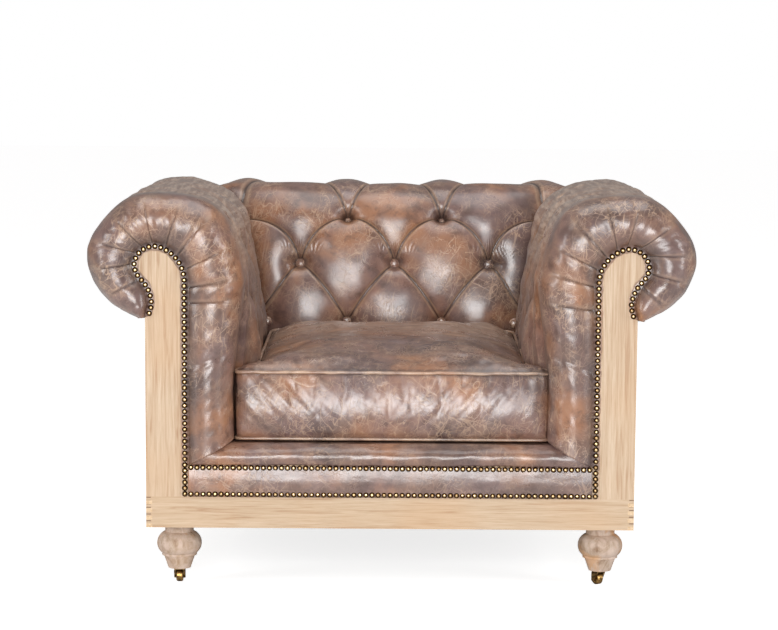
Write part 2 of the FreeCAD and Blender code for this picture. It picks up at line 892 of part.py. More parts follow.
def seat_lip():
    """A prism across the front whose ends are cut back along the arms' front pads."""
    body = doc.addObject("PartDesign::Body", "seat_lip")
    half = post_inner - size.collar_clearance
    profile = draw(new_sketch(body, "seat_lip_profile", "YZ_Plane"), lip_profile())
    pad(body, "seat_lip_roll", profile, 2 * half, both_ways=True)
    ends = new_sketch(body, "seat_lip_miter", "XZ_Plane")
    inner = half_frame - size.lip_miter_inside
    top = size.lip_miter_height
    for sign in SIDES.values():
        foot = (half * sign, size.band_top)
        draw(ends, [foot, (half * sign, top), (inner * sign, top)])
    cut_through(body, "seat_lip_ends", ends)
    return keep("seat_lip", body)


def front_border():
    """The leather band between the two rows of nails, swelling a little over its stuffing."""
    body = doc.addObject("PartDesign::Body", "front_border")
    skin = front - size.leather
    hem = 2 * size.nail_inset
    span = size.band_top - plinth_top
    swell_radius = span * span / (8 * size.band_swell)
    profile = [
        (front, plinth_top),
        (skin, plinth_top),
        (skin, plinth_top + hem, -swell_radius),
        (skin, size.band_top - hem),
        (skin, size.band_top),
        (front, size.band_top),
    ]
    section = draw(new_sketch(body, "front_border_profile", "YZ_Plane"), profile)
    pad(body, "front_border_band", section, 2 * (post_inner + size.leather_lap), both_ways=True)
    return keep("front_border", body)


def cushion_outline(grow=0):
    """Half of the cushion's plan, from the middle of its front round to the middle of its back."""
    front_face = front + size.cushion_front_behind
    return [
        (front_face - grow, size.cushion_ear_half + grow),
        (front_face + size.cushion_ear_depth, size.cushion_half + grow),
        (front + size.cushion_rear_behind + grow, size.cushion_half + grow),
    ]


def cushion_top(y):
    """The height of the top seam, which rises to the back."""
    front_face = front + size.cushion_front_behind
    share = (y - front_face) / (size.cushion_rear_behind - size.cushion_front_behind)
    return size.cushion_front_top + (size.cushion_rear_top - size.cushion_front_top) * share


def cushion_wire(y, half, crown, inset=0):
    """A cross section: flat below, sides that swell between the seams, and a crowned top."""
    low = cushion_bottom + inset
    high = cushion_top(y) - inset
    half = half - inset
    middle = (low + high) / 2
    swell = half + size.cushion_side_swell - inset
    points = [Vector(-half, y, low), Vector(half, y, low), Vector(half, y, high), Vector(-half, y, high)]
    middles = {
        1: Vector(swell, y, middle),
        2: Vector(0, y, high + max(crown, 1)),
        3: Vector(-swell, y, middle),
    }
    return joined(points, middles)


def seat_cushion():
    """The loose box cushion: ears in front of the arms, a crowned top and softly swelling sides."""
    face, bend, tail = cushion_outline()
    crown = size.cushion_crown
    edge = 3
    roundness = size.cushion_side_swell
    wires = [
        cushion_wire(face[0] - roundness, face[1], 2, 12),
        cushion_wire(face[0] + edge, face[1], crown * 0.3),
        cushion_wire(face[0] + (bend[0] - face[0]) * 0.4, face[1] + (bend[1] - face[1]) * 0.4, crown * 0.62),
        cushion_wire(bend[0], bend[1], crown * 0.85),
        cushion_wire(between(bend, tail, 0.3)[0], bend[1], crown),
        cushion_wire(between(bend, tail, 0.7)[0], bend[1], crown),
        cushion_wire(tail[0] - 4 * roundness, tail[1], crown * 0.6),
        cushion_wire(tail[0] - edge, tail[1], crown * 0.2),
        cushion_wire(tail[0] + roundness, tail[1], 2, 12),
    ]
    return soft_piece("seat_cushion", solid_loft(wires))


def piping_cord(height):
    """A six-sided cord round one seam, mitred at the corners."""
    radius = size.piping_radius
    plan = cushion_outline(radius)
    start = Vector(0, plan[0][0], height(plan[0][0]))
    right = [Vector(x, y, height(y)) for y, x in plan]
    left = [Vector(-x, y, height(y)) for y, x in reversed(plan)]
    section = []
    for number in range(6):
        angle = math.radians(60 * number + 30)
        section.append(start + Vector(0, radius * math.cos(angle), radius * math.sin(angle)))
    path = Part.makePolygon([start] + right + left + [start])
    return path.makePipeShell([Part.makePolygon(section + section[:1])], True, False, 1)


# Buttons and nails.

def button_solid(face, core, place, along):
    """A shallow cone sunk at a fold crossing, square to the pad."""
    run, climb = face[0] - core[0], face[1] - core[1]
    length = math.hypot(run, climb)
    seat_depth = size.button_sink + 1
    foot = place(along, face[0] - run / length * seat_depth, face[1] - climb / length * seat_depth)
    axis = (place(along, face[0], face[1]) - foot).normalize()
    return faceted_dome(foot, axis, size.button_radius, 0.6, size.button_height, 8)


def back_buttons():
    rows, core = pad_rows(), core_rows()
    pitch = size.back_half_pitch

    def place(x, y, z):
        return Vector(x, y, z)

    corner = rows.low[0] + arm_shift - 1.5 * size.button_radius
    buttons = [button_solid(rows.low, core.low, place, x) for x in (-corner, -pitch, pitch, corner)]
    buttons += [button_solid(rows.middle, core.middle, place, x) for x in (-2 * pitch, 0, 2 * pitch)]
    buttons += [button_solid(rows.high, core.high, place, x) for x in (-pitch, pitch)]
    return soft_piece("back_buttons", Part.makeCompound(buttons))


def arm_buttons():
    rows, core = pad_rows(), core_rows()
    columns = arm_columns()
    buttons = []
    for sign in SIDES.values():

        def place(y, v, z):
            return Vector(sign * (v + arm_shift), y, z)

        for row, back, used in (
            (rows.low, core.low, (2, 4)),
            (rows.middle, core.middle, (1, 3, 5)),
            (rows.high, core.high, (2, 4)),
        ):
            buttons += [button_solid(row, back, place, columns[number]) for number in used]
    return soft_piece("arm_buttons", Part.makeCompound(buttons))


def faceted_dome(foot, axis, radius, top_share, height, sides):
    """A low dome of flat facets on a point, square to an axis. With no top it ends in a point."""
    aside = axis.cross(Vector(0, 0, 1)).normalize()
    beside = aside.cross(axis)

    def ring(share, out):
        corners = []
        for number in range(sides):
            angle = 2 * math.pi * number / sides
            spoke = aside * math.cos(angle) + beside * math.sin(angle)
            corners.append(foot + axis * out + spoke * (radius * share))
        return corners

    low, high = ring(1, 0), ring(top_share, height)
    outlines = [low] + ([high] if top_share else [])
    for number in range(sides):
        after = (number + 1) % sides
        top = [high[after], high[number]] if top_share else [foot + axis * height]
        outlines.append([low[number], low[after]] + top)
    faces = [Part.Face(Part.makePolygon(corners + corners[:1])) for corners in outlines]
    return whole_solid(Part.Solid(Part.Shell(faces)))


def nail_group(node, places):
    """Touching nail heads on the leather, each a solid of its own."""
    head = faceted_dome(Vector(0, 0, 0), Vector(0, -1, 0), size.nail_radius, 0, size.nail_height, 6)
    skin = front - size.leather
    heads = [head.translated(Vector(spot.x, skin, spot.z)) for spot in places]
    return soft_piece(node, Part.makeCompound(heads))


def nail_line_half():
    return post_inner + size.nail_inset


def arm_nails(node, sign):
    """Nails up the post's inner edge, round its head and down to the hook's end."""
    inset = size.nail_inset
    path = reverse_path(post_corners(sign, -inset))
    foot = (sign * nail_line_half(), plinth_top + inset)
    corners = [foot] + path
    length = path_length(corners)
    return nail_group(node, path_points(corners, int(round(length / size.nail_pitch)) + 1))


def path_length(corners):
    total = 0
    for here, after in zip(corners, corners[1:]):
        radius = here[2] if len(here) > 2 else 0
        edge = plane_edge(here[:2], after[:2], radius, lambda u, v: Vector(u, 0, v))
        total += edge.length()
    return total


def front_nails():
    """Two level rows across the front, between the arms' lines of nails."""
    half = nail_line_half() - size.nail_pitch
    count = int(round(2 * half / size.nail_pitch)) + 1
    rows = []
    for height in (plinth_top + size.nail_inset, size.band_top - size.nail_top_inset):
        rows += [Vector(-half + 2 * half * number / (count - 1), 0, height) for number in range(count)]
    return nail_group("front_nails", rows)


def mirrored_boards():
    """The boards and panels that come in a left and a right."""
    for side, sign in SIDES.items():
        boards = {
            "seat_side_rail": (
                (rail_inner, panel_inner),
                (post_rear, rear_rail_front),
                (plinth_top, rail_top),
            ),
            "back_post": (
                (panel_inner - size.back_post_side, panel_inner),
                (rear_panel_inner - size.back_post_side, rear_panel_inner),
                (rail_top, size.shelf_bottom),
            ),
            "arm_shelf": (
                (lining_outer + arm_shift, core_outer + arm_shift),
                (collar_rear, lining_outer),
                (size.shelf_bottom, shelf_top),
            ),
            "arm_roll_core": (
                (core_inner + arm_shift, core_outer + arm_shift),
                (post_rear, core_inner),
                (shelf_top, size.core_top),
            ),
            "arm_facing": (
                (lining_outer + arm_shift, panel_inner),
                (collar_rear, collar_rear + size.skirt_board),
                (platform, size.shelf_bottom),
            ),
            "arm_lining": (
                (lining_outer + arm_shift, lining_back + arm_shift),
                (collar_rear + size.skirt_board, lining_outer),
                (platform, size.shelf_bottom),
            ),
            "outside_arm_panel": (
                (panel_inner, half_frame),
                (post_rear, rear_panel_inner),
                (plinth_top, size.panel_top),
            ),
        }
        for name, (across, along, upright) in boards.items():
            node = "%s_%s" % (name, side)
            keep(node, board(node, sided(sign, *across), along, upright))


def centre_boards():
    """The boards and panels that lie across the middle."""
    full = (-half_frame, half_frame)
    boards = {
        "seat_front_rail": (
            (-post_inner, post_inner),
            (front, front + size.plinth_board),
            (plinth_top, rail_top),
        ),
        "seat_rear_rail": (
            (-panel_inner, panel_inner),
            (rear_rail_front, rear_panel_inner),
            (plinth_top, rail_top),
        ),
        "back_shelf": (
            (-(core_outer + arm_shift), core_outer + arm_shift),
            (lining_outer, core_outer),
            (size.shelf_bottom, shelf_top),
        ),
        "back_roll_core": (
            (-(core_outer + arm_shift), core_outer + arm_shift),
            (core_inner, core_outer),
            (shelf_top, size.core_top),
        ),
        "back_lining": (
            (-(lining_back + arm_shift), lining_back + arm_shift),
            (lining_outer, lining_back),
            (platform, size.shelf_bottom),
        ),
        "outside_back_panel": (full, (rear_panel_inner, rear), (plinth_top, size.panel_top)),
        "dust_cover": (
            (-(half_frame - size.skirt_board), half_frame - size.skirt_board),
            (front + size.plinth_board, rear - size.plinth_board),
            (plinth_top - size.strap_thick, plinth_top),
        ),
        "seat_deck": (
            (-(lining_outer + arm_shift - size.soft_gap), lining_outer + arm_shift - size.soft_gap),
            (deck_front, lining_outer - size.soft_gap),
            (platform, size.seat_height),
        ),
    }
    for node, (across, along, upright) in boards.items():
        keep(node, board(node, across, along, upright))


def seat_webbing():
    """Straps from front to back with straps across them, tacked on the seat rails."""
    count = int(size.strap_count)
    width = size.strap_width
    lower = (rail_top, rail_top + size.strap_thick)
    upper = (rail_top + size.strap_thick, rail_top + 2 * size.strap_thick)
    tack = size.plinth_board - size.leather
    straps = []
    for number in range(count):
        share = (number + 0.5) / count
        left = -post_inner + (2 * post_inner - width) * share
        lengthwise = (front + size.leather, rear_rail_front + tack)
        straps.append(board("strap_long_%d" % number, (left, left + width), lengthwise, lower))
        near = deck_front + (lining_outer - deck_front - width) * share
        half = rail_inner + tack
        straps.append(board("strap_cross_%d" % number, (-half, half), (near, near + width), upper))
    return keep("seat_webbing", group("seat_webbing", straps))


def build_chair():
    cross_plinth("front_plinth", front + size.plinth_board)
    cross_plinth("rear_plinth", rear)
    for side, sign in SIDES.items():
        side_plinth("side_plinth_" + side, sign)
        front_post("front_post_" + side, sign)
    centre_boards()
    mirrored_boards()
    seat_webbing()
    keep("corner_blocks", group("corner_blocks", [corner_block(corner) for corner in leg_places]))
    keep("legs", group("legs", [turned_leg(corner) for corner in leg_places]))
    keep("caster_plates", group("caster_plates", [caster_plate(corner) for corner in leg_places]))
    swivels = {
        "front_left": 0,
        "front_right": size.swivel_front_right,
        "rear_left": size.swivel_rear_left,
        "rear_right": size.swivel_rear_right,
    }
    for corner, swivel in swivels.items():
        caster_fork(corner, swivel)
        caster_wheel(corner, swivel)
    seat_lip()
    front_border()
    back_pad()
    back_buttons()
    arm_buttons()
    front_nails()
    for side, sign in SIDES.items():
        arm_pad("arm_pad_" + side, sign)
        arm_front_pad("arm_front_pad_" + side, sign)
        arm_nails("arm_nails_" + side, sign)
    seat_cushion()
    seams = (cushion_top, lambda y: cushion_bottom)
    soft_piece("cushion_piping", Part.makeCompound([piping_cord(seam) for seam in seams]))


def check_and_write():
    """Stop on any failed object or bad shape, then write each node's file."""
    for item in doc.Objects:
        if {"Invalid", "Error"} & set(item.State):
            raise RuntimeError("%s failed: %s" % (item.Name, item.State))
    for node, piece in nodes.items():
        if piece.Shape.isNull() or not piece.Shape.isValid():
            raise RuntimeError("%s has no valid shape" % node)
    for node, piece in nodes.items():
        piece.Shape.exportStep("parts/%s.step" % node)


build_chair()
doc.recompute()
check_and_write()
print(len(nodes), "nodes written")
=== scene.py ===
import json
import math

import bmesh
import bpy
import numpy as np
from mathutils import Matrix, Vector

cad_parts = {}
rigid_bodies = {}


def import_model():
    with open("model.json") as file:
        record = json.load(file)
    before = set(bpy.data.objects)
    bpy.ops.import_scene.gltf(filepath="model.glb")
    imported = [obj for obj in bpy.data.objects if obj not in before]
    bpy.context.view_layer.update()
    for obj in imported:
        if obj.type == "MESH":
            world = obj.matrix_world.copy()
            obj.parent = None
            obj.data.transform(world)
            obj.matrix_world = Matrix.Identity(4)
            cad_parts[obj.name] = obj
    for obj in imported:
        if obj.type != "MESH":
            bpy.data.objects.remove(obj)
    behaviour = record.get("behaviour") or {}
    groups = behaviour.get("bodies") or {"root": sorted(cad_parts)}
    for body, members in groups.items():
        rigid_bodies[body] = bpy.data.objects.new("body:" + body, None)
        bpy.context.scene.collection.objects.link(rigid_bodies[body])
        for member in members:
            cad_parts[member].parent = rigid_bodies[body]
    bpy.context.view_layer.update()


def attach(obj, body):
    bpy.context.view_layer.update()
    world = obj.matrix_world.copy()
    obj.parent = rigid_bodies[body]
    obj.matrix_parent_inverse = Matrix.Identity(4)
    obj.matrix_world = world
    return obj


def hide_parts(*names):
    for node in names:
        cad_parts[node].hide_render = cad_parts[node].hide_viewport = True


# A deep-buttoned club armchair: waxed brown leather over a pale oak front frame.
# Everything is in metres in the frame's own axes: +X right, +Y back, +Z up, the floor at 0.

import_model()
MM = 0.001

# Sizes that the pieces share, in millimetres as a maker would measure them.
FRONT = -459
NAIL_SKIN = -461
ARM_SHIFT = 115
NAIL_PITCH = 11.6
NAIL_LINE = 399
PATTERN_SHIFT = 7
HALF_PITCH = 102
COLLAR_REAR = -360
COLLAR_TURN = -414
COLLAR_CREST = -481
LEATHER_LAP = 14

# The oak hook's outline on the right: corners and the radius of the arc that leaves each.
HOOK = [
    (475, 531, 0),
    (468, 555, -63),
    (487, 601, 50),
    (501, 633, 45.2),
    (450, 674, 74),
    (393, 600, 0),
    (393, 244, 0),
]

# The leather's section from the seat over the roll to its tacked edge, inside-out distance and height.
SKIN_CORNERS = [
    (166, 262), (163, 283), (152, 380), (146, 460), (150, 530), (159, 593), (171, 647), (187, 697),
    (213, 734), (252, 757), (303, 767), (357, 768), (388, 762), (413, 747), (434, 727), (453, 704),
    (468, 679), (475, 650), (471, 619), (459, 591), (440, 566), (416, 547), (396, 537), (372, 528),
]
ROW_CORNERS = {"seat": 1, "low": 3, "middle": 5, "high": 7}


def linear(value):
    """An sRGB hex colour as the linear numbers that a shader takes."""
    parts = [int(value[place:place + 2], 16) / 255 for place in (1, 3, 5)]
    return [part / 12.92 if part <= 0.04045 else ((part + 0.055) / 1.055) ** 2.4 for part in parts] + [1.0]


# Curves and grids


def spline(corners, step=1.0):
    """A natural cubic through corners: points about a step apart, and the length reached at each corner."""
    corners = np.array(corners, float)
    chord = np.r_[0, np.cumsum(np.linalg.norm(np.diff(corners, axis=0), axis=1))]
    count = len(corners)
    gap = np.diff(chord)
    system = np.eye(count)
    right = np.zeros_like(corners)
    for row in range(1, count - 1):
        system[row, row - 1:row + 2] = gap[row - 1], 2 * (gap[row - 1] + gap[row]), gap[row]
        after = (corners[row + 1] - corners[row]) / gap[row]
        before = (corners[row] - corners[row - 1]) / gap[row - 1]
        right[row] = 6 * (after - before)
    bend = np.linalg.solve(system, right)
    fine = np.linspace(0, chord[-1], int(chord[-1] * 4 / step) + 1)
    part = np.clip(np.searchsorted(chord, fine, side="right") - 1, 0, count - 2)
    width = gap[part][:, None]
    after = (fine - chord[part])[:, None]
    before = width - after
    points = (bend[part] * before ** 3 + bend[part + 1] * after ** 3) / (6 * width)
    points += (corners[part] / width - bend[part] * width / 6) * before
    points += (corners[part + 1] / width - bend[part + 1] * width / 6) * after
    length = np.r_[0, np.cumsum(np.linalg.norm(np.diff(points, axis=0), axis=1))]
    marks = np.interp(chord, fine, length)
    even = np.linspace(0, length[-1], int(length[-1] / step) + 1)
    path = np.stack([np.interp(even, length, points[:, axis]) for axis in range(corners.shape[1])], 1)
    return Path(path, marks)


class Path:
    """Points along a line in a plane, read by length."""

    def __init__(self, points, marks=None):
        self.points = np.array(points, float)
        self.length = np.r_[0, np.cumsum(np.linalg.norm(np.diff(self.points, axis=0), axis=1))]
        self.marks = marks
        self.total = self.length[-1]

    def at(self, length):
        length = np.asarray(length, float)
        return np.stack([np.interp(length, self.length, self.points[:, axis]) for axis in (0, 1)], -1)

    def outward(self, length, reach=6.0):
        """The unit normal on the left of the walk."""
        ahead = self.at(np.clip(np.asarray(length) + reach, 0, self.total))
        along = ahead - self.at(np.clip(np.asarray(length) - reach, 0, self.total))
        along /= np.linalg.norm(along, axis=-1, keepdims=True)
        return np.stack([-along[..., 1], along[..., 0]], -1)


def arc_points(start, end, radius, step):
    """Points from start up to end on the shorter arc, which bulges right if the radius is positive."""
    start, end = np.array(start, float), np.array(end, float)
    chord = end - start
    reach = np.linalg.norm(chord)
    if not radius:
        count = max(int(reach / step), 1)
        return start + chord * (np.arange(count) / count)[:, None]
    side = np.array([chord[1], -chord[0]]) / reach
    depth = math.sqrt(max(radius ** 2 - reach ** 2 / 4, 0))
    centre = (start + end) / 2 - side * math.copysign(depth, radius)
    first = math.atan2(*(start - centre)[::-1])
    last = math.atan2(*(end - centre)[::-1])
    swing = (last - first + math.pi) % (2 * math.pi) - math.pi
    count = max(int(abs(swing * radius) / step), 2)
    angles = first + swing * np.arange(count) / count
    return centre + abs(radius) * np.stack([np.cos(angles), np.sin(angles)], 1)


def hook_path(grow):
    """The post's edge grown by a gap, walked from its inner foot round the head to the hook's end."""
    runs = [arc_points(here[:2], after[:2], here[2], 0.5) for here, after in zip(HOOK, HOOK[1:])]
    path = Path(np.concatenate(runs + [np.array([HOOK[-1][:2]], float)]))
    grown = path.points - path.outward(path.length, 3.0) * grow
    return Path(grown[::-1])


def grid_triangles(rows, columns, diagonal):
    """Two triangles for each square of a grid, split along the given diagonal."""
    row, column = np.meshgrid(np.arange(rows - 1), np.arange(columns - 1), indexing="ij")
    a = row * columns + column
    b, c, d = a + 1, a + columns + 1, a + columns
    first = np.where(diagonal[..., None], np.stack([a, b, c], -1), np.stack([a, b, d], -1))
    second = np.where(diagonal[..., None], np.stack([a, c, d], -1), np.stack([b, c, d], -1))
    return np.concatenate([first.reshape(-1, 3), second.reshape(-1, 3)])


def piece(name, points, faces, values=None, flip=False, flat=False):
    """A mesh object from points in metres, with a number for each point where a name asks for one."""
    mesh = bpy.data.meshes.new(name)
    faces = [list(map(int, face[::-1] if flip else face)) for face in faces]
    mesh.from_pydata([tuple(point) for point in points], [], faces)
    for key, numbers in (values or {}).items():
        attribute = mesh.attributes.new(key, "FLOAT", "POINT")
        attribute.data.foreach_set("value", np.asarray(numbers, np.float32).ravel())
    mesh.polygons.foreach_set("use_smooth", [not flat] * len(mesh.polygons))
    mesh.update()
    made = bpy.data.objects.new(name, mesh)
    bpy.context.scene.collection.objects.link(made)
    return made


def smooth_step(low, high, value):
    share = np.clip((np.asarray(value, float) - low) / (high - low), 0, 1)
    return share * share * (3 - 2 * share)


def ripple(x, y, seed, size, octaves=3):
    """Smooth seeded unevenness between about -1 and 1, from a sum of waves in many directions."""
    source = np.random.default_rng(seed)
    total = np.zeros(np.broadcast(x, y).shape)
    weight = 0
    for octave in range(octaves):
        scale = size / 2 ** octave
        share = 0.55 ** octave
        for _ in range(7):
            angle, phase = source.uniform(0, math.pi), source.uniform(0, 2 * math.pi)
            wave = 2 * math.pi / (scale * source.uniform(0.75, 1.5))
            total += share * np.sin(wave * (x * math.cos(angle) + y * math.sin(angle)) + phase)
        weight += share ** 2 * 7
    return total / math.sqrt(weight)


# Materials

MATH = "ShaderNodeMath"
NOISE = "ShaderNodeTexNoise"
RAMP = "ShaderNodeValToRGB"
MIX = "ShaderNodeMix"
MAPPING = "ShaderNodeMapping"
ATTRIBUTE = "ShaderNodeAttribute"
BUMP = "ShaderNodeBump"
TIMES = {"operation": "MULTIPLY"}
PLUS = {"operation": "ADD"}
MINUS = {"operation": "SUBTRACT"}
LARGER = {"operation": "MAXIMUM"}
SIZE = {"operation": "ABSOLUTE"}
COLOUR = {"data_type": "RGBA"}
DRAWN_OUT = {"vector_type": "TEXTURE"}


def add(tree, kind, settings=None, links=None, out=0):
    """Adds a node with its settings, its inputs from numbers or sockets, and the stops of a colour ramp."""
    node = tree.nodes.new(kind)
    settings = dict(settings or {})
    stops = settings.pop("stops", ())
    for key, value in settings.items():
        setattr(node, key, value)
    for _ in stops[2:]:
        node.color_ramp.elements.new(0.5)
    for number, (spot, tone) in enumerate(stops):
        element = node.color_ramp.elements[number]
        element.position = spot
        element.color = linear(tone) if isinstance(tone, str) else (tone, tone, tone, 1)
    for key, value in (links or {}).items():
        if isinstance(value, bpy.types.NodeSocket):
            tree.links.new(value, node.inputs[key])
        else:
            node.inputs[key].default_value = value
    return node.outputs[out] if len(node.outputs) else node


def blank(name):
    """A new material: its tree, its shader and the place that it reads patterns from."""
    material = bpy.data.materials.new(name)
    material.use_nodes = True
    tree = material.node_tree
    shader = tree.nodes["Principled BSDF"]
    place = add(tree, "ShaderNodeTexCoord", out="Object")
    return material, tree, shader, place


def set_all_over(shader, **numbers):
    """Sets the shader's own numbers, which are the same all over the surface."""
    for name, value in numbers.items():
        shader.inputs[name.replace("_", " ")].default_value = value


def speckle(place, size_mm, detail=3.0, rough=0.5, distortion=0.0):
    """A noise's inputs for spots of a size in millimetres."""
    scale = 1000 / size_mm
    return {"Vector": place, "Scale": scale, "Detail": detail, "Roughness": rough, "Distortion": distortion}


def hair_lines(tree, place, across_mm, turn, width, seed):
    """Long hair scratches that run one way: where a noise drawn out along them crosses its middle."""
    shift = (seed * 0.31, seed * 0.17, 0)
    run = add(tree, MAPPING, DRAWN_OUT, {0: place, 1: shift, 2: turn, 3: (1 / 0.22, 1, 1)})
    wander = add(tree, NOISE, None, speckle(run, across_mm, 2.5, 0.55, 0.5))
    near = add(tree, MATH, SIZE, {0: add(tree, MATH, MINUS, {0: wander, 1: 0.5})})
    return add(tree, RAMP, {"stops": ((0.0, 1.0), (width, 0.0))}, {0: near})


# How far apart the scratches of each direction run in millimetres, which way, and how thick they are.
SCRATCHES = (
    (46, (0, 0.6, 0), 0.006),
    (60, (0, -0.9, 0.7), 0.005),
    (36, (0, 1.8, 0.4), 0.008),
    (40, (0.5, 0.2, 1.5), 0.007),
    (54, (0.3, -1.3, 1.2), 0.006),
    (26, (0, 2.6, -0.5), 0.009),
)


def worn_lines(tree, place, worn):
    """Scratches in the worn areas and a fine crackle in others. Gives both together, and the worn areas."""
    patches = add(tree, NOISE, None, speckle(place, 90, 3.0, 0.55, 0.2))
    where = add(tree, RAMP, {"stops": ((0.40 - worn, 0.05), (0.60 - worn, 1.0))}, {0: patches})
    web = None
    for number, (size, turn, width) in enumerate(SCRATCHES):
        lines = hair_lines(tree, place, size, turn, width, number + 1)
        web = lines if web is None else add(tree, MATH, LARGER, {0: web, 1: lines})
    web = add(tree, MATH, TIMES, {0: web, 1: where})
    curls = add(tree, NOISE, None, speckle(place, 30, 3.0, 0.6, 0.3))
    near = add(tree, MATH, SIZE, {0: add(tree, MATH, MINUS, {0: curls, 1: 0.5})})
    cracks = add(tree, RAMP, {"stops": ((0.0, 1.0), (0.014, 0.0))}, {0: near})
    zone = add(tree, NOISE, None, speckle(place, 70, 3.0, 0.55, 0.0))
    zone = add(tree, RAMP, {"stops": ((0.50, 0.0), (0.62, 0.45))}, {0: zone})
    cracks = add(tree, MATH, TIMES, {0: cracks, 1: zone})
    return add(tree, MATH, LARGER, {0: web, 1: cracks}), where


def waxed_leather(name, streak=None, wear=0.6, gloss=0.30, rubbed=True, worn=0.0):
    """Pull-up aniline cowhide, dyed and waxed: brown and violet patches, tan where the wax has lifted."""
    material, tree, shader, place = blank(name)
    brown = {"stops": ((0.36, "#5c4741"), (0.50, "#7b5d50"), (0.64, "#98694b"))}
    tone = add(tree, RAMP, brown, {0: add(tree, NOISE, None, speckle(place, 130, 2.0, 0.5, 0.5))})
    violet = add(tree, NOISE, None, speckle(place, 110, 2.0, 0.5, 0.3))
    mottle = add(tree, NOISE, None, speckle(place, 30, 5.0, 0.66, 0.3))
    lines, where = worn_lines(tree, place, worn)
    haze = add(tree, NOISE, None, speckle(place, 45, 4.0, 0.7, 0.3))
    haze = add(tree, RAMP, {"stops": ((0.5, 0.0), (0.75, 0.4))}, {0: haze})
    # What lies over the brown, from the bottom up: how much of it shows, and its colour.
    layers = [
        (add(tree, RAMP, {"stops": ((0.45, 0.0), (0.62, 0.6))}, {0: violet}), "#745c5a"),
        (add(tree, RAMP, {"stops": ((0.34, 0.6), (0.52, 0.0))}, {0: mottle}), "#4a342d"),
        (add(tree, RAMP, {"stops": ((0.54, 0.0), (0.78, 0.45))}, {0: mottle}), "#a68065"),
        (add(tree, MATH, TIMES, {0: lines, 1: wear}), "#cdac90"),
        (add(tree, MATH, TIMES, {0: haze, 1: where}), "#ab8e79"),
    ]
    if streak:
        # Where hands and heads rest, the hide is rubbed pale in streaks.
        run = add(tree, MAPPING, DRAWN_OUT, {0: place, 3: tuple(1 / part for part in streak)})
        run = add(tree, NOISE, None, speckle(run, 9, 4.0, 0.6, 0.2))
        run = add(tree, RAMP, {"stops": ((0.42, 0.0), (0.66, 1.0))}, {0: run})
        zone = add(tree, ATTRIBUTE, {"attribute_name": "streak"}, out="Fac")
        pale = add(tree, MATH, TIMES, {0: run, 1: zone})
        layers.append((add(tree, MATH, TIMES, {0: zone, 1: 0.5}), "#9d8170"))
        layers.append((add(tree, MATH, TIMES, {0: pale, 1: 0.75}), "#cbb29e"))
    # The fold attribute lays near-black painted shade into folds, button pockets, the arm-back mitre and
    # beside seams; the rub attribute is pale wear.
    if rubbed:
        rub = add(tree, ATTRIBUTE, {"attribute_name": "rub"}, out="Fac")
        fold = add(tree, ATTRIBUTE, {"attribute_name": "fold"}, out="Fac")
        layers.append((add(tree, MATH, TIMES, {0: rub, 1: 0.6}), "#c4a488"))
        layers.append((add(tree, MATH, TIMES, {0: fold, 1: 0.9}), "#241511"))
    for share, colour in layers:
        tone = add(tree, MIX, COLOUR, {0: share, 6: tone, 7: linear(colour)}, 2)
    tree.links.new(tone, shader.inputs["Base Color"])
    shine = add(tree, NOISE, None, speckle(place, 48, 3.0, 0.6))
    rough = add(tree, RAMP, {"stops": ((0.3, gloss - 0.05), (0.7, gloss + 0.10))}, {0: shine})
    dulled = add(tree, MATH, TIMES, {0: lines, 1: 0.10})
    rough = add(tree, MATH, PLUS, {0: rough, 1: dulled})
    tree.links.new(rough, shader.inputs["Roughness"])
    set_all_over(shader, Specular_IOR_Level=0.7, Coat_Weight=0.6, Coat_Roughness=0.24)
    # Pores 1.6 mm apart, three times the real ones, which the picture could not show.
    pores = add(tree, "ShaderNodeTexVoronoi", None, {"Vector": place, "Scale": 1000 / 1.6}, "Distance")
    creases = add(tree, NOISE, None, speckle(place, 24, 4.0, 0.5, 0.5))
    pores = add(tree, MATH, TIMES, {0: pores, 1: 0.12})
    creases = add(tree, MATH, TIMES, {0: creases, 1: 0.28})
    cuts = add(tree, MATH, TIMES, {0: lines, 1: 0.22})
    relief = add(tree, MATH, PLUS, {0: pores, 1: creases})
    relief = add(tree, MATH, MINUS, {0: relief, 1: cuts})
    bump = add(tree, BUMP, None, {"Height": relief, "Strength": 0.34, "Distance": 0.0016})
    tree.links.new(bump, shader.inputs["Normal"])
    tree.links.new(bump, shader.inputs["Coat Normal"])
    return material


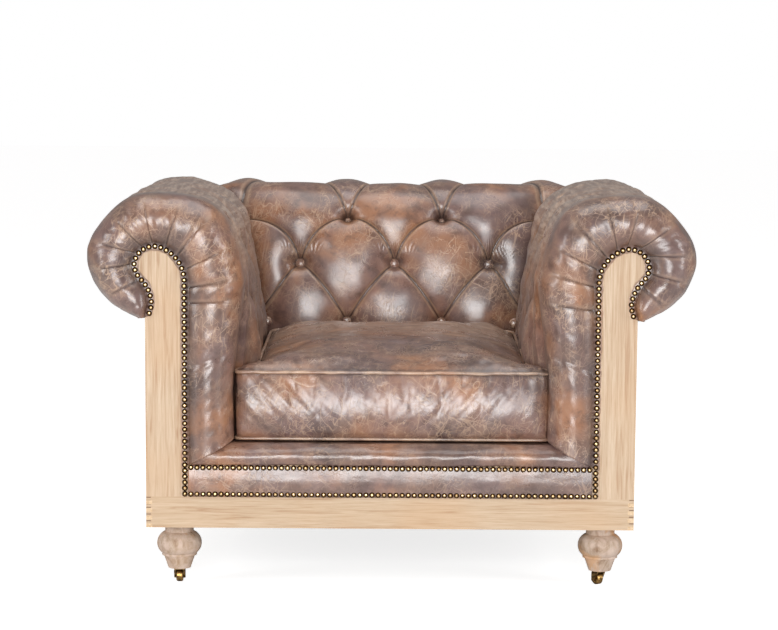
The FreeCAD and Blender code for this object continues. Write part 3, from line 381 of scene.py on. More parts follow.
def oak(name, along, dark, base, pale, limed=0.0, end_grain=False, band_mm=6.5, draw=0.035):
    """Sawn, sanded oak with no finish: growth bands and short dark pores along the grain, a matt face."""
    material, tree, shader, place = blank(name)
    squeeze = {"x": (draw, 1, 1), "y": (1, draw, 1), "z": (1, 1, draw)}[along]
    run = add(tree, MAPPING, DRAWN_OUT, {0: place, 3: tuple(1 / part for part in squeeze)})
    bands = add(tree, NOISE, None, speckle(run, band_mm, 3.0, 0.6, 1.0))
    pores = add(tree, NOISE, None, speckle(run, 1.7, 3.0, 0.7, 0.2))
    broad = add(tree, NOISE, None, speckle(place, 160, 2.0, 0.5))
    tone = add(tree, RAMP, {"stops": ((0.30, dark), (0.46, base), (0.66, pale))}, {0: bands})
    layers = [
        (add(tree, RAMP, {"stops": ((0.38, 0.30), (0.52, 0.0))}, {0: pores}), dark),
        (add(tree, RAMP, {"stops": ((0.45, 0.0), (0.7, 0.3))}, {0: broad}), "#c9a27c"),
    ]
    if end_grain:
        # The fingers of the corner joint end in dark ticks 6.6 mm apart.
        across = add(tree, "ShaderNodeSeparateXYZ", None, {0: place}, "X")
        up = add(tree, "ShaderNodeSeparateXYZ", None, {0: place}, "Z")
        across = add(tree, MATH, SIZE, {0: across})
        far = add(tree, MATH, {"operation": "GREATER_THAN"}, {0: across, 1: 0.4655})
        step = add(tree, MATH, {"operation": "FRACT"}, {0: add(tree, MATH, TIMES, {0: up, 1: 1000 / 6.6})})
        mark = add(tree, MATH, {"operation": "LESS_THAN"}, {0: step, 1: 0.34})
        mark = add(tree, MATH, TIMES, {0: mark, 1: far})
        layers.append((add(tree, MATH, TIMES, {0: mark, 1: 0.8}), "#6a4a30"))
    if limed:
        lime = add(tree, NOISE, None, speckle(place, 30, 4.0, 0.6, 0.8))
        amber = add(tree, NOISE, None, speckle(place, 42, 3.0, 0.6, 0.5))
        layers.append((add(tree, RAMP, {"stops": ((0.40, 0.0), (0.60, limed))}, {0: lime}), "#d8c3b6"))
        layers.append((add(tree, RAMP, {"stops": ((0.55, 0.0), (0.66, 0.6))}, {0: amber}), "#c99766"))
    for share, colour in layers:
        tone = add(tree, MIX, COLOUR, {0: share, 6: tone, 7: linear(colour)}, 2)
    tree.links.new(tone, shader.inputs["Base Color"])
    set_all_over(shader, Roughness=0.62, Specular_IOR_Level=0.35)
    bump = add(tree, BUMP, None, {"Height": pores, "Strength": 0.25, "Distance": 0.0006})
    tree.links.new(bump, shader.inputs["Normal"])
    return material


def old_brass(name, stops, rim=False):
    """Cast brass left to tarnish: dark brown in the hollows, rubbed bright where it stands proud. With rim,
    a painted highlight at each dome's top fades to painted shade at its rim.
    """
    material, tree, shader, place = blank(name)
    tarnish = add(tree, NOISE, None, speckle(place, 7, 4.0, 0.6))
    share = tarnish
    # Painted highlight at the dome's top and painted shade towards its rim, mixed with uneven tarnish.
    if rim:
        near_rim = add(tree, ATTRIBUTE, {"attribute_name": "rim"}, out="Fac")
        uneven = add(tree, MATH, MINUS, {0: tarnish, 1: 0.5})
        share = add(tree, MATH, PLUS, {0: near_rim, 1: add(tree, MATH, TIMES, {0: uneven, 1: 0.5})})
    tree.links.new(add(tree, RAMP, {"stops": stops}, {0: share}), shader.inputs["Base Color"])
    rough = add(tree, RAMP, {"stops": ((0.3, 0.26), (0.7, 0.42))}, {0: tarnish})
    tree.links.new(rough, shader.inputs["Roughness"])
    set_all_over(shader, Metallic=1.0)
    return material


def cloth(name, colour, thread_mm, roughness=0.9):
    """Plain woven cloth: a checker of raised threads, dusty and matt."""
    material, tree, shader, place = blank(name)
    weave = add(tree, "ShaderNodeTexChecker", None, {"Vector": place, "Scale": 1000 / thread_mm}, "Fac")
    dust = add(tree, NOISE, None, speckle(place, 40, 3.0, 0.6))
    dust = add(tree, RAMP, {"stops": ((0.3, 0.0), (0.7, 0.25))}, {0: dust})
    tone = add(tree, MIX, COLOUR, {0: dust, 6: linear(colour), 7: linear("#8c7f6c")}, 2)
    tree.links.new(tone, shader.inputs["Base Color"])
    set_all_over(shader, Roughness=roughness)
    bump = add(tree, BUMP, None, {"Height": weave, "Strength": 0.3, "Distance": 0.0005})
    tree.links.new(bump, shader.inputs["Normal"])
    return material


arm_leather = waxed_leather("waxed leather arms", streak=(1, 0.08, 1))
back_leather = waxed_leather("waxed leather back")
cushion_leather = waxed_leather("waxed leather cushion", (0.08, 1, 1), wear=0.48, gloss=0.28, worn=0.06)
band_leather = waxed_leather("waxed leather band", wear=0.35)
panel_leather = waxed_leather("waxed leather outside", wear=0.5, gloss=0.33, rubbed=False)
button_leather = waxed_leather("waxed leather buttons", wear=0.8, gloss=0.24, rubbed=False, worn=0.3)
piping_leather = waxed_leather("rubbed leather piping", wear=0.9, gloss=0.33)
post_oak = oak("oak standing grain", "z", "#ad8a6c", "#c2a98e", "#cfb9a0")
board_oak = oak("oak level grain", "x", "#aa8869", "#bfa68a", "#cab399", end_grain=True)
side_oak = oak("oak side grain", "y", "#bf9d79", "#d2b795", "#dcc5a6")
leg_oak = oak("limed turned oak", "z", "#7f644e", "#a99380", "#c0afa0", 0.5, band_mm=16, draw=0.3)
beech = oak("sawn beech", "y", "#a98a63", "#cdb08a", "#dcc39f")
# The nails run from a cream painted highlight at the top to near-black painted shade at the rim, over the
# brass's tarnish.
nail_highlight_and_patina_tones = ((0.06, "#ecd3a4"), (0.28, "#7d5c36"), (0.58, "#1f140c"))
nail_brass = old_brass("antique brass nails", nail_highlight_and_patina_tones, True)
caster_brass = old_brass("antique brass casters", ((0.35, "#3a2a1b"), (0.6, "#a88655")))
wheel_brass = old_brass("turned brass wheels", ((0.35, "#45311d"), (0.6, "#b8935a")))
jute = cloth("woven jute webbing", "#a98d62", 2.0)
lining = cloth("black lining cloth", "#2a2522", 1.0)


# The buttoned leather


skin = spline(SKIN_CORNERS)
row_length = {name: skin.marks[corner] for name, corner in ROW_CORNERS.items()}


def arches(share, bend):
    """How far along and up a fold has gone: steep at its lower button, level at the upper one."""
    angle = share * math.pi / 2
    straight = (1 - bend) * share
    return straight + bend * (1 - np.cos(angle)), straight + bend * np.sin(angle)


def lattice(u, w, first_odd, bends, lengths):
    """Moves the even lattice so that its diagonals arch. Gives the place along and the length up."""
    row = np.clip(np.floor(w), 0, len(bends) - 1).astype(int)
    share = np.clip(w - row, 0, 1)
    along, up = arches(share, np.array(bends)[row])
    odd = (first_odd + row) % 2
    side = (u - odd + 1) % 2 - 1
    near = np.abs(side)
    safe = np.clip(share, 1e-6, 1 - 1e-6)
    pull = np.where(near < safe, side / safe, np.sign(side) * (1 - near) / (1 - safe))
    inside = (w > 0) & (w < len(bends))
    moved = u - np.where(inside, pull * (share - along), 0)
    knots = np.array(lengths)
    length = knots[row + 1] + (knots[row + 2] - knots[row + 1]) * up
    length = np.where(w < 0, knots[1] + w * (knots[1] - knots[0]), length)
    return moved, length


def tuft_height(u, w, along_mm, up_mm, first_odd, top_row, buttons):
    """From 0 at a button to 1 on a pillow, and how near each point is to a fold, in millimetres."""
    level = np.clip(w, 0, top_row)
    shift = first_odd
    one = np.abs(np.cos(math.pi * (u + level + shift + 1) / 2))
    two = np.abs(np.cos(math.pi * (u - level + shift + 1) / 2))
    pillow = np.sqrt(one * two)
    fold = np.minimum(np.arcsin(np.clip(one, 0, 1)), np.arcsin(np.clip(two, 0, 1))) / math.pi * 150
    round_buttons = np.ones_like(pillow)
    pocket = np.zeros_like(pillow)
    for place_along, place_up, deep in buttons:
        away = np.hypot(along_mm - place_along, up_mm - place_up)
        round_buttons = round_buttons * (1 - np.exp(-away / 32))
        pocket = pocket + deep * np.exp(-(away / 14) ** 2)
    return 0.34 * pillow + 0.66 * round_buttons, fold, pocket


def fold_shade_and_rub(fold, strength):
    """Painted shade along a fold's line, and the rubbed leather beside it."""
    dark = strength * np.exp(-(fold / 1.7) ** 2)
    rub = 0.8 * strength * np.exp(-((fold - 3.4) / 1.5) ** 2)
    return dark, rub


def along_diagonals(u, w, shift):
    """Which way to split each square so that its edge runs with the nearest fold."""
    one = np.abs(np.cos(math.pi * (u + w + shift + 1) / 2))
    two = np.abs(np.cos(math.pi * (u - w + shift + 1) / 2))

    def middle(grid):
        return (grid[:-1, :-1] + grid[1:, 1:] + grid[:-1, 1:] + grid[1:, :-1]) / 4

    return middle(two) < middle(one)


def grid_normals(points):
    down = np.gradient(points, axis=0)
    across = np.gradient(points, axis=1)
    normal = np.cross(down, across)
    return normal / np.maximum(np.linalg.norm(normal, axis=-1, keepdims=True), 1e-9)


def closed_grid(name, points, diagonal, values, flip):
    """A grid whose rows go round to a ring, with both ends filled. The last rows may have no values."""
    rows, columns = points.shape[:2]
    for key, value in values.items():
        values[key] = np.concatenate([value, np.zeros((rows - len(value), columns))])
    whole = np.zeros((rows - 1, columns - 1), bool)
    whole[:diagonal.shape[0], :diagonal.shape[1]] = diagonal
    diagonal = whole
    wrap = np.concatenate([diagonal, diagonal[:1]])
    faces = grid_triangles(rows + 1, columns, wrap)
    faces = np.where(faces >= rows * columns, faces - rows * columns, faces)
    flat = points.reshape(-1, 3)
    ends = []
    for column, turned in ((0, True), (columns - 1, False)):
        loop = [row * columns + column for row in range(rows)]
        ends.append(loop[::-1] if turned else loop)
    made = piece(name, flat, list(faces), values, flip)
    add_caps(made, ends, flip)
    return made


def add_caps(made, loops, flip):
    """Fill closed loops of points with triangles."""
    shape = bmesh.new()
    shape.from_mesh(made.data)
    shape.verts.ensure_lookup_table()
    new = []
    for loop in loops:
        new.append(shape.faces.new([shape.verts[index] for index in (loop if flip else loop[::-1])]))
    bmesh.ops.triangulate(shape, faces=new)
    shape.to_mesh(made.data)
    shape.free()
    made.data.update()


# Rows of the leather's grid between two rows of buttons.
STEPS = 36
# The shape of a fold between each pair of button rows, from 0, straight, to 1, a quarter circle.
ARM_BENDS = (0.25, 0.7, 0.7)
BACK_BENDS = (0.25, 0.7, 0.25)
# The timber behind the leather, which closes its shell: depth and height.
SHELL_CORE = [(378, 526), (330, 560), (232, 600), (228, 262)]
# The arm's front swells past the roll's section, more where the seat presses it: height and swelling.
NIP_HEIGHTS = [283, 380, 421, 500, 600, 697, 768]
NIP_REACH = [28, 41, 44, 36, 10, 8, 0]


def build_back():
    """The back's hide: three rows of buttons, and tucks over the crest. Gives the buttons' places too."""
    high = row_length["high"]
    lengths = [row_length["seat"], row_length["low"], row_length["middle"], high, high + 233]
    low_rows = np.arange(-int(1.1 * STEPS), 3 * STEPS + 1) / STEPS
    tail = np.linspace(0, 1, 110)[1:]
    level = np.concatenate([low_rows, 3 + tail])
    columns = np.arange(-3 * STEPS, 3 * STEPS + 1) / STEPS
    u, w = np.meshgrid(columns, level)
    moved, length = lattice(u, np.minimum(w, 3), 1, BACK_BENDS, lengths)
    length = np.where(w > 3, lengths[4] + (skin.total - lengths[4]) * (w - 3), length)
    spots = []
    rows_of_tucks = ((0, (-1, 1), 10), (1, (-2, 0, 2), 11), (2, (-1, 1), 16), (3, (-2, 0, 2), 6))
    for row, counts, deep in rows_of_tucks:
        spots += [(count * HALF_PITCH + PATTERN_SHIFT, lengths[row + 1], deep) for count in counts]
    base = skin.at(length)
    normal = skin.outward(length)
    corner = base[..., 0] + ARM_SHIFT
    inner = 2 * HALF_PITCH
    share = np.clip(np.abs(moved) - 2, 0, 1)
    beyond = np.sign(moved) * (inner + (corner - inner) * share)
    x = np.where(np.abs(moved) <= 2, moved * HALF_PITCH, beyond)
    x = x + PATTERN_SHIFT * (1 - share)
    corners = [(side * 268, lengths[1], 7) for side in (-1, 1)]
    corners += [(side * 318, lengths[3], 12) for side in (-1, 1)]
    height, fold, pocket = tuft_height(u, w, x, length, 1, 3, spots + corners)
    stages = [lengths[0], lengths[1], lengths[3], lengths[4], skin.total]
    depth = np.interp(length, stages, [26, 34, 38, 30, 6])
    drop = depth * (1 - height) + pocket
    alive = smooth_step(3.9, 3.1, w) * 0.6 + 0.4
    crease = 2.6 * np.exp(-(fold / 2.6) ** 2) * alive
    away = np.abs(corner - np.abs(x)) / math.sqrt(2)
    mitre = 22 * np.exp(-away / 20)
    pucker = np.zeros_like(x)
    for along, up, _ in spots[2:5]:
        side, rise = x - along, length - up
        window = np.exp(-((rise - 30) / 16) ** 2) * np.exp(-(side / 30) ** 2)
        pucker += window * 2.6 * np.cos(side * 2 * math.pi / 11 + rise * 0.02 * side)
    wave = ripple(x, length, 11, 130, 2) * 0.9
    swell = 0.5 + 0.5 * np.cos(2 * math.pi * (np.abs(x - 6) - 107) / 217)
    scallop = -29 * (1 - swell) * smooth_step(472, 400, np.abs(x)) - 6
    at_crest = smooth_step(540, 625, length) * smooth_step(880, 700, length)
    out = -drop * (1 - at_crest) + scallop * at_crest - crease - mitre + pucker + wave
    spot = base + normal * out[..., None]
    corner = spot[..., 0] + ARM_SHIFT
    mitred = np.sign(moved) * (inner + (corner - inner) * share) + PATTERN_SHIFT * (1 - share)
    x = np.where(np.abs(moved) <= 2, x, mitred)
    points = np.stack([x, spot[..., 0], spot[..., 1]], -1)
    extra = []
    for v, z in SHELL_CORE:
        extra.append([(np.sign(c) * (v + ARM_SHIFT) * min(1, abs(c) / 3), v, z) for c in columns])
    extra = np.array(extra)
    points = np.concatenate([points, extra])
    # Painted shade: dark along each fold, along the mitre where the arms meet the back, and round each
    # button's pocket.
    dark, rub = fold_shade_and_rub(fold, np.where(w < 0, 0.5, alive))
    dark = np.maximum(dark, 0.9 * np.exp(-away / 5))
    pocket_painted_shade = np.clip(pocket / 9, 0, 1)
    values = {"fold": np.maximum(dark, pocket_painted_shade * 0.85), "rub": rub * (1 - pocket_painted_shade)}
    ways = along_diagonals(u, np.minimum(w, 3), 1)
    made = closed_grid("back_leather", points * MM, ways, values, True)
    made.data.materials.append(back_leather)
    buttons = []
    for row, counts in ((0, (-1, 1)), (1, (-2, 0, 2)), (2, (-1, 1))):
        buttons += [(count * HALF_PITCH + PATTERN_SHIFT, lengths[row + 1]) for count in counts]
    buttons += [(side * 268, lengths[1]) for side in (-1, 1)]
    places = []
    for along, up in buttons:
        row, column = np.unravel_index(np.argmin((x - along) ** 2 + (length - up) ** 2), x.shape)
        face = skin.outward(up)
        depth = out[row, column] + (8.5 if up < lengths[3] else 3.0)
        v, z = skin.at(up) + face * depth
        places.append(((along, v, z), (0, face[0], face[1])))
    return made, places


# Each arm: buttoned inside, smooth over the roll, and drawn round the front over the pad to the nails.
# A pleat is where it starts on the leather's section, and where it reaches the post's edge.
PLEATS = {
    -1: [
        (302, 314), (346, 344), (413, 381), (490, 412), (566, 441),
        (641, 468), (716, 490), (785, 508), (846, 532), (909, 565),
    ],
    1: [
        (303, 304), (361, 350), (418, 384), (489, 414), (573, 440),
        (642, 461), (728, 487), (810, 508), (867, 545), (934, 575),
    ],
}


def build_arm(sign, seed):
    """One arm's hide, from the mitre to the nails on the post. Gives the buttons' places too."""
    high = row_length["high"]
    lengths = [row_length["seat"], row_length["low"], row_length["middle"], high, high + 150]
    low_rows = np.arange(-int(1.05 * STEPS), 3 * STEPS + 1) / STEPS
    tail = np.linspace(0, 1, 125)[1:]
    level = np.concatenate([low_rows, 3 + tail])
    steps = 30
    columns = np.arange(0, 6 * steps + 1) / steps
    u, w = np.meshgrid(columns, level)
    moved, length = lattice(u, np.minimum(w, 3), 0, ARM_BENDS, lengths)
    fade = smooth_step(6.0, 5.5, u)
    calm = smooth_step(3.0, 2.1, w)
    length = np.where(w > 3, lengths[4] + (skin.total - lengths[4]) * (w - 3), length)
    even_length = lattice(np.zeros_like(level), np.minimum(level, 3), 0, ARM_BENDS, lengths)[1][:, None]
    even_length = np.where(w > 3, length, even_length)
    length = np.where(w > 2, even_length * (1 - calm) + length * calm, length)
    moved = u + (moved - u) * np.where(w > 2, calm, 1) * fade
    pitch = (170 - COLLAR_REAR) / 6
    base = skin.at(length)
    normal = skin.outward(length)
    spots = []
    for row, counts, deep in ((0, (2, 4), 7), (1, (1, 3, 5), 7), (2, (2, 4), 12)):
        spots += [(170 - count * pitch, lengths[row + 1], deep) for count in counts]
    first = 170 - pitch
    y = np.where(moved >= 1, 170 - moved * pitch, base[..., 0] + (first - base[..., 0]) * moved)
    height, fold, pocket = tuft_height(u, w, y, length, 0, 3, spots)
    depth = np.interp(length, lengths, [24, 36, 38, 36, 26])
    mix = fade * calm
    away = np.abs(base[..., 0] - y) / math.sqrt(2)
    crease = 2.6 * np.exp(-(fold / 2.6) ** 2)
    sway = ripple(y, length, seed, 90) * 1.6
    out = -(depth * (1 - height) + pocket + crease) * mix - 22 * np.exp(-away / 20) + sway
    spot = base + normal * out[..., None]
    y = np.where(moved >= 1, y, spot[..., 0] + (first - spot[..., 0]) * moved)
    nip = np.interp(base[..., 1], NIP_HEIGHTS, NIP_REACH)
    nip = np.where(length < skin.marks[11], nip, 0) * smooth_step(-290, -400, y)
    body = np.stack([spot[..., 0] + ARM_SHIFT + nip, y, spot[..., 1]], -1)
    # Painted shade: dark along each fold, along the mitre where the arm meets the back, and round each
    # button's pocket.
    dark, rub = fold_shade_and_rub(fold, mix * np.where(w < 0, 0.5, 1))
    dark = np.maximum(dark, 0.9 * np.exp(-away / 5))
    pocket_painted_shade = np.clip(pocket / 9, 0, 1) * mix
    dark, rub = np.maximum(dark, pocket_painted_shade * 0.85), rub * (1 - pocket_painted_shade)
    # From here on, the front pad: each row runs from the arm's edge in to the post.
    station = even_length[:, 0]
    hook = hook_path(1)
    pleats = PLEATS[sign]
    row_of = [int(np.argmin(np.abs(station - where))) for where, _ in pleats]
    reached = np.interp(
        np.arange(len(station)),
        [0] + row_of + [len(station) - 1],
        [0] + [inner for _, inner in pleats] + [hook.total],
    )
    inner = hook.at(reached)
    rim = skin.at(station)
    push = np.where(station < skin.marks[11], np.interp(rim[:, 1], NIP_HEIGHTS, NIP_REACH), 0)
    outer = np.stack([rim[:, 0] + ARM_SHIFT + push, np.maximum(rim[:, 1], 290)], 1)
    way = outer - inner
    reach = np.maximum(np.linalg.norm(way, axis=1), 6)
    way = way / reach[:, None]
    # How far each row is into its gap between two pleats.
    phase = np.zeros(len(station))
    inside = np.zeros(len(station))
    bounds = [row_of[0] - 26] + row_of + [row_of[-1] + 14]
    for start, stop in zip(bounds, bounds[1:]):
        rows = np.arange(start + 1, min(stop, len(station) - 1) + 1)
        phase[rows] = (rows - start) / (stop - start)
        inside[rows] = 1
    scallop = np.sin(math.pi * phase) ** 0.6 * inside
    lapped = phase * inside
    near_pleat = np.full(len(station), 99.0)
    for row in row_of:
        near_pleat = np.minimum(near_pleat, np.abs(np.arange(len(station)) - row - 0.5))
    share = np.clip(reach / 45, 0, 1)
    crest = FRONT - (FRONT - COLLAR_CREST) * share
    turned = FRONT + (COLLAR_TURN - FRONT) * share
    middle = 0.42 * reach
    start = np.arccos(np.clip((turned - NAIL_SKIN) / (turned - crest), -1, 1))

    def on_the_way(distance, y_here):
        level = np.full(len(station), y_here) if np.isscalar(y_here) else y_here
        return np.stack([inner[:, 0] + way[:, 0] * distance, level, inner[:, 1] + way[:, 1] * distance], 1)

    parts = []
    marks = []
    for k in range(1, 8):
        y_here = COLLAR_REAR + (turned - COLLAR_REAR) * k / 7
        parts.append((reach, y_here))
        marks.append(np.zeros(len(station)))
    turn_steps = 34
    for k in range(1, turn_steps + 1):
        angle = math.pi / 2 - (math.pi / 2 + start) * k / turn_steps
        half = np.where(angle < 0, middle / np.sin(start), reach - middle)
        parts.append((middle + half * np.sin(angle), turned - (turned - crest) * np.cos(angle)))
        marks.append(np.full(len(station), k / turn_steps))
    collar = np.stack([on_the_way(distance, y_here) for distance, y_here in parts], 1)
    grip = np.stack(marks, 1)
    strength = smooth_step(0.18, 0.62, grip)
    puff = (scallop[:, None] * 2.6 + lapped[:, None] * 3.2 - 3.6) * strength * inside[:, None]
    puff += ripple(station[:, None], 90 * grip, seed + 5, 60) * np.minimum(grip * 3, 1) * (1 - grip) * 2
    outward = grid_normals(collar)
    facing = np.sign(outward[len(outward) // 2, 20, 1]) * -1
    fade_end = np.minimum(1, (1 - grip) * 14)
    collar = collar + outward * facing * (puff * fade_end)[..., None]
    # Painted shade in each pleat's groove and over the last part of the turn towards the nails; the rubbing
    # beside the pleats is wear.
    pleat_painted_shade = strength * np.exp(-(near_pleat[:, None] / 0.8) ** 2)
    rubbing = 0.5 * np.exp(-((grip - 0.34) / 0.09) ** 2) * np.exp(-(near_pleat[:, None] / 0.8) ** 2)
    rubbing += 0.35 * strength * np.exp(-((near_pleat[:, None] - 2) / 1.0) ** 2)
    collar_painted_shade = pleat_painted_shade * 0.5 + 0.55 * smooth_step(0.72, 1.0, grip)
    trim = 0.7 * np.sin(reached / 9) + 0.5 * np.sin(reached / 3.7 + 1)
    lap = LEATHER_LAP + 1 + trim
    tails = [on_the_way(-share_of_lap * lap, NAIL_SKIN) for share_of_lap in (0.35, 0.7, 1)]
    tails.append(on_the_way(-lap, FRONT + 0.2))
    tails.append(on_the_way(0 * lap, FRONT + 0.3))
    tails.append(on_the_way(0 * lap, -425.0))
    tails = np.stack(tails, 1)
    blank_tail = np.zeros(tails.shape[:2])
    edge_rub = blank_tail.copy()
    edge_rub[:, 1:4] = 0.55
    points = np.concatenate([body, collar, tails], 1)
    points[..., 0] *= sign
    fold_shade_value = np.concatenate([dark, np.clip(collar_painted_shade, 0, 1), blank_tail], 1)
    rub_value = np.concatenate([rub, np.clip(rubbing, 0, 1), edge_rub], 1)
    height_now = points[..., 2]
    streak = smooth_step(560, 700, height_now) * smooth_step(-440, -330, points[..., 1])
    extra = []
    for v, z in SHELL_CORE:
        row = points[-1].copy()
        row[:, 0] = sign * (v + ARM_SHIFT)
        row[:, 2] = z
        row[0, 1] = v
        row[-6:, 0] = sign * np.linspace(v + ARM_SHIFT, min(v + ARM_SHIFT, 470), 6)
        extra.append(row)
    extra = np.array(extra)
    extra[:, -48:, 1] = np.maximum(extra[:, -48:, 1], -424)
    points = np.concatenate([points, extra])
    values = {"fold": fold_shade_value, "rub": rub_value, "streak": streak}
    ways = along_diagonals(u, np.minimum(w, 3), 0)
    name = "arm_leather_" + ("left" if sign < 0 else "right")
    made = closed_grid(name, points * MM, ways, values, sign < 0)
    made.data.materials.append(arm_leather)
    columns = points.shape[1]
    ends = np.empty(len(made.data.edges) * 2, np.int32)
    made.data.edges.foreach_get("vertices", ends)
    row_one, row_two = ends[0::2] // columns, ends[1::2] // columns
    creased = np.isin(row_one, np.concatenate([row_of, np.array(row_of) + 1])) & (row_one == row_two)
    creased &= ends[0::2] % columns > u.shape[1] + 20
    made.data.attributes.new("sharp_edge", "BOOLEAN", "EDGE").data.foreach_set("value", creased)
    places = []
    for along, up, deep in spots:
        row, column = np.unravel_index(np.argmin((y - along) ** 2 + (length - up) ** 2), y.shape)
        face = skin.outward(up)
        v, z = skin.at(up) + face * (out[row, column] + 4.5)
        places.append(((sign * (v + ARM_SHIFT), along, z), (sign * face[0], 0, face[1])))
    return made, places


back, back_places = build_back()
arms = {sign: build_arm(sign, 20 + sign) for sign in (-1, 1)}


# Nails and buttons, laid out with Geometry Nodes


def dome(name, radius, height, lip, rows=5, sides=14):
    """A low dome on a short skirt, base at 0 and facing +Z, with how near each point is to its rim."""
    points, rims = [], []
    turns = np.arange(sides) * 2 * math.pi / sides
    for row in range(rows):
        angle = (math.pi / 2) * (row / rows)
        reach, level = radius * math.cos(angle), lip + (height - lip) * math.sin(angle)
        points += [(reach * math.cos(turn), reach * math.sin(turn), level) for turn in turns]
        rims += [1 - row / rows] * sides
    foot = radius * 0.97
    skirt = [(foot * math.cos(turn), foot * math.sin(turn), 0) for turn in turns]
    points, rims = skirt + points + [(0, 0, height)], [1.0] * sides + rims + [0.0]
    faces = []
    for row in range(rows):
        for side in range(sides):
            a, b = row * sides + side, row * sides + (side + 1) % sides
            faces.append((a, b, b + sides, a + sides))
    top = rows * sides
    faces += [(top + side, top + (side + 1) % sides, len(points) - 1) for side in range(sides)]
    faces.append(tuple(range(sides))[::-1])
    made = piece(name, np.array(points) * MM, faces, {"rim": rims})
    return made


def repeat(name, template, places, material, tilt, size_change, seed):
    """Copies of a template on a list of (place, facing), a little uneven, realised as one plain mesh."""
    holder = piece(name, np.array([place for place, _ in places]) * MM, [])
    ways = holder.data.attributes.new("facing", "FLOAT_VECTOR", "POINT")
    ways.data.foreach_set("vector", np.array([list(way) for _, way in places], np.float32).ravel())
    tree = bpy.data.node_groups.new(name + " layout", "GeometryNodeTree")
    face = tree.interface
    face.new_socket("Geometry", in_out="INPUT", socket_type="NodeSocketGeometry")
    face.new_socket("Template", in_out="INPUT", socket_type="NodeSocketObject")
    face.new_socket("Tilt", in_out="INPUT", socket_type="NodeSocketFloat")
    face.new_socket("Size change", in_out="INPUT", socket_type="NodeSocketFloat")
    face.new_socket("Geometry", in_out="OUTPUT", socket_type="NodeSocketGeometry")
    ins = tree.nodes.new("NodeGroupInput").outputs
    shape = add(tree, "GeometryNodeObjectInfo", None, {"Object": ins["Template"]}, "Geometry")
    dots = add(tree, "GeometryNodeMeshToPoints", None, {"Mesh": ins["Geometry"]})
    vector = {"data_type": "FLOAT_VECTOR"}
    facing = add(tree, "GeometryNodeInputNamedAttribute", vector, {"Name": "facing"})
    spread = {"Min": (-1, -1, -1), "Max": (1, 1, 1), "Seed": seed}
    lean = add(tree, "FunctionNodeRandomValue", vector, spread)
    lean = add(tree, "ShaderNodeVectorMath", {"operation": "SCALE"}, {0: lean, 3: ins["Tilt"]})
    aim = add(tree, "ShaderNodeVectorMath", {"operation": "ADD"}, {0: facing, 1: lean})
    turn = add(tree, "FunctionNodeAlignRotationToVector", {"axis": "Z"}, {"Vector": aim})
    vary = add(tree, "FunctionNodeRandomValue", {"data_type": "FLOAT"}, {2: -1, 3: 1, "Seed": seed + 1}, 1)
    change = add(tree, MATH, {"operation": "MULTIPLY_ADD"}, {0: vary, 1: ins["Size change"], 2: 1.0})
    links = {"Points": dots, "Instance": shape, "Rotation": turn, "Scale": change}
    copies = add(tree, "GeometryNodeInstanceOnPoints", None, links)
    real = add(tree, "GeometryNodeRealizeInstances", None, {0: copies})
    paint = add(tree, "GeometryNodeSetMaterial", None, {"Geometry": real, "Material": material})
    add(tree, "NodeGroupOutput", None, {0: paint})
    layout = holder.modifiers.new("layout", "NODES")
    layout.node_group = tree
    values = {"Template": template, "Tilt": tilt, "Size change": size_change}
    for socket in face.items_tree:
        if socket.item_type == "SOCKET" and socket.in_out == "INPUT" and socket.name in values:
            layout[socket.identifier] = values[socket.name]
    bpy.context.view_layer.update()
    made = bpy.data.meshes.new_from_object(holder.evaluated_get(bpy.context.evaluated_depsgraph_get()))
    holder.modifiers.remove(layout)
    holder.data = made
    holder.data.polygons.foreach_set("use_smooth", [True] * len(made.polygons))
    return holder


nail = dome("nail_template", 5.6, 3.7, 0.6)
button = dome("button_template", 11.5, 7.0, 1.2, 6, 20)
front = (0, -1, 0)

arm_line = hook_path(-6)
arm_starts = np.arange(0, int((arm_line.total) / NAIL_PITCH) + 1) * NAIL_PITCH
arm_nails = {}
for sign in (-1, 1):
    places = []
    stem = np.linspace(198.4, 232.6, 4)
    places += [((sign * NAIL_LINE, NAIL_SKIN, level), front) for level in stem]
    places += [((sign * spot[0], NAIL_SKIN, spot[1]), front) for spot in arm_line.at(arm_starts)]
    name = "arm_nail_row_" + ("left" if sign < 0 else "right")
    arm_nails[sign] = repeat(name, nail, places, nail_brass, 0.10, 0.05, 40 + sign)
row = np.linspace(-NAIL_LINE, NAIL_LINE, 69)
places = [((x, NAIL_SKIN, 187), front) for x in row]
places += [((x, NAIL_SKIN, 239), front) for x in row[1:-1]]
front_nails = repeat("front_nail_rows", nail, places, nail_brass, 0.10, 0.05, 50)
back_buttons = repeat("back_button_domes", button, back_places, button_leather, 0.10, 0.03, 60)
arm_places = arms[-1][1] + arms[1][1]
arm_buttons = repeat("arm_button_domes", button, arm_places, button_leather, 0.10, 0.03, 61)
for template in (nail, button):
    bpy.data.objects.remove(template)


# The front's lip and band


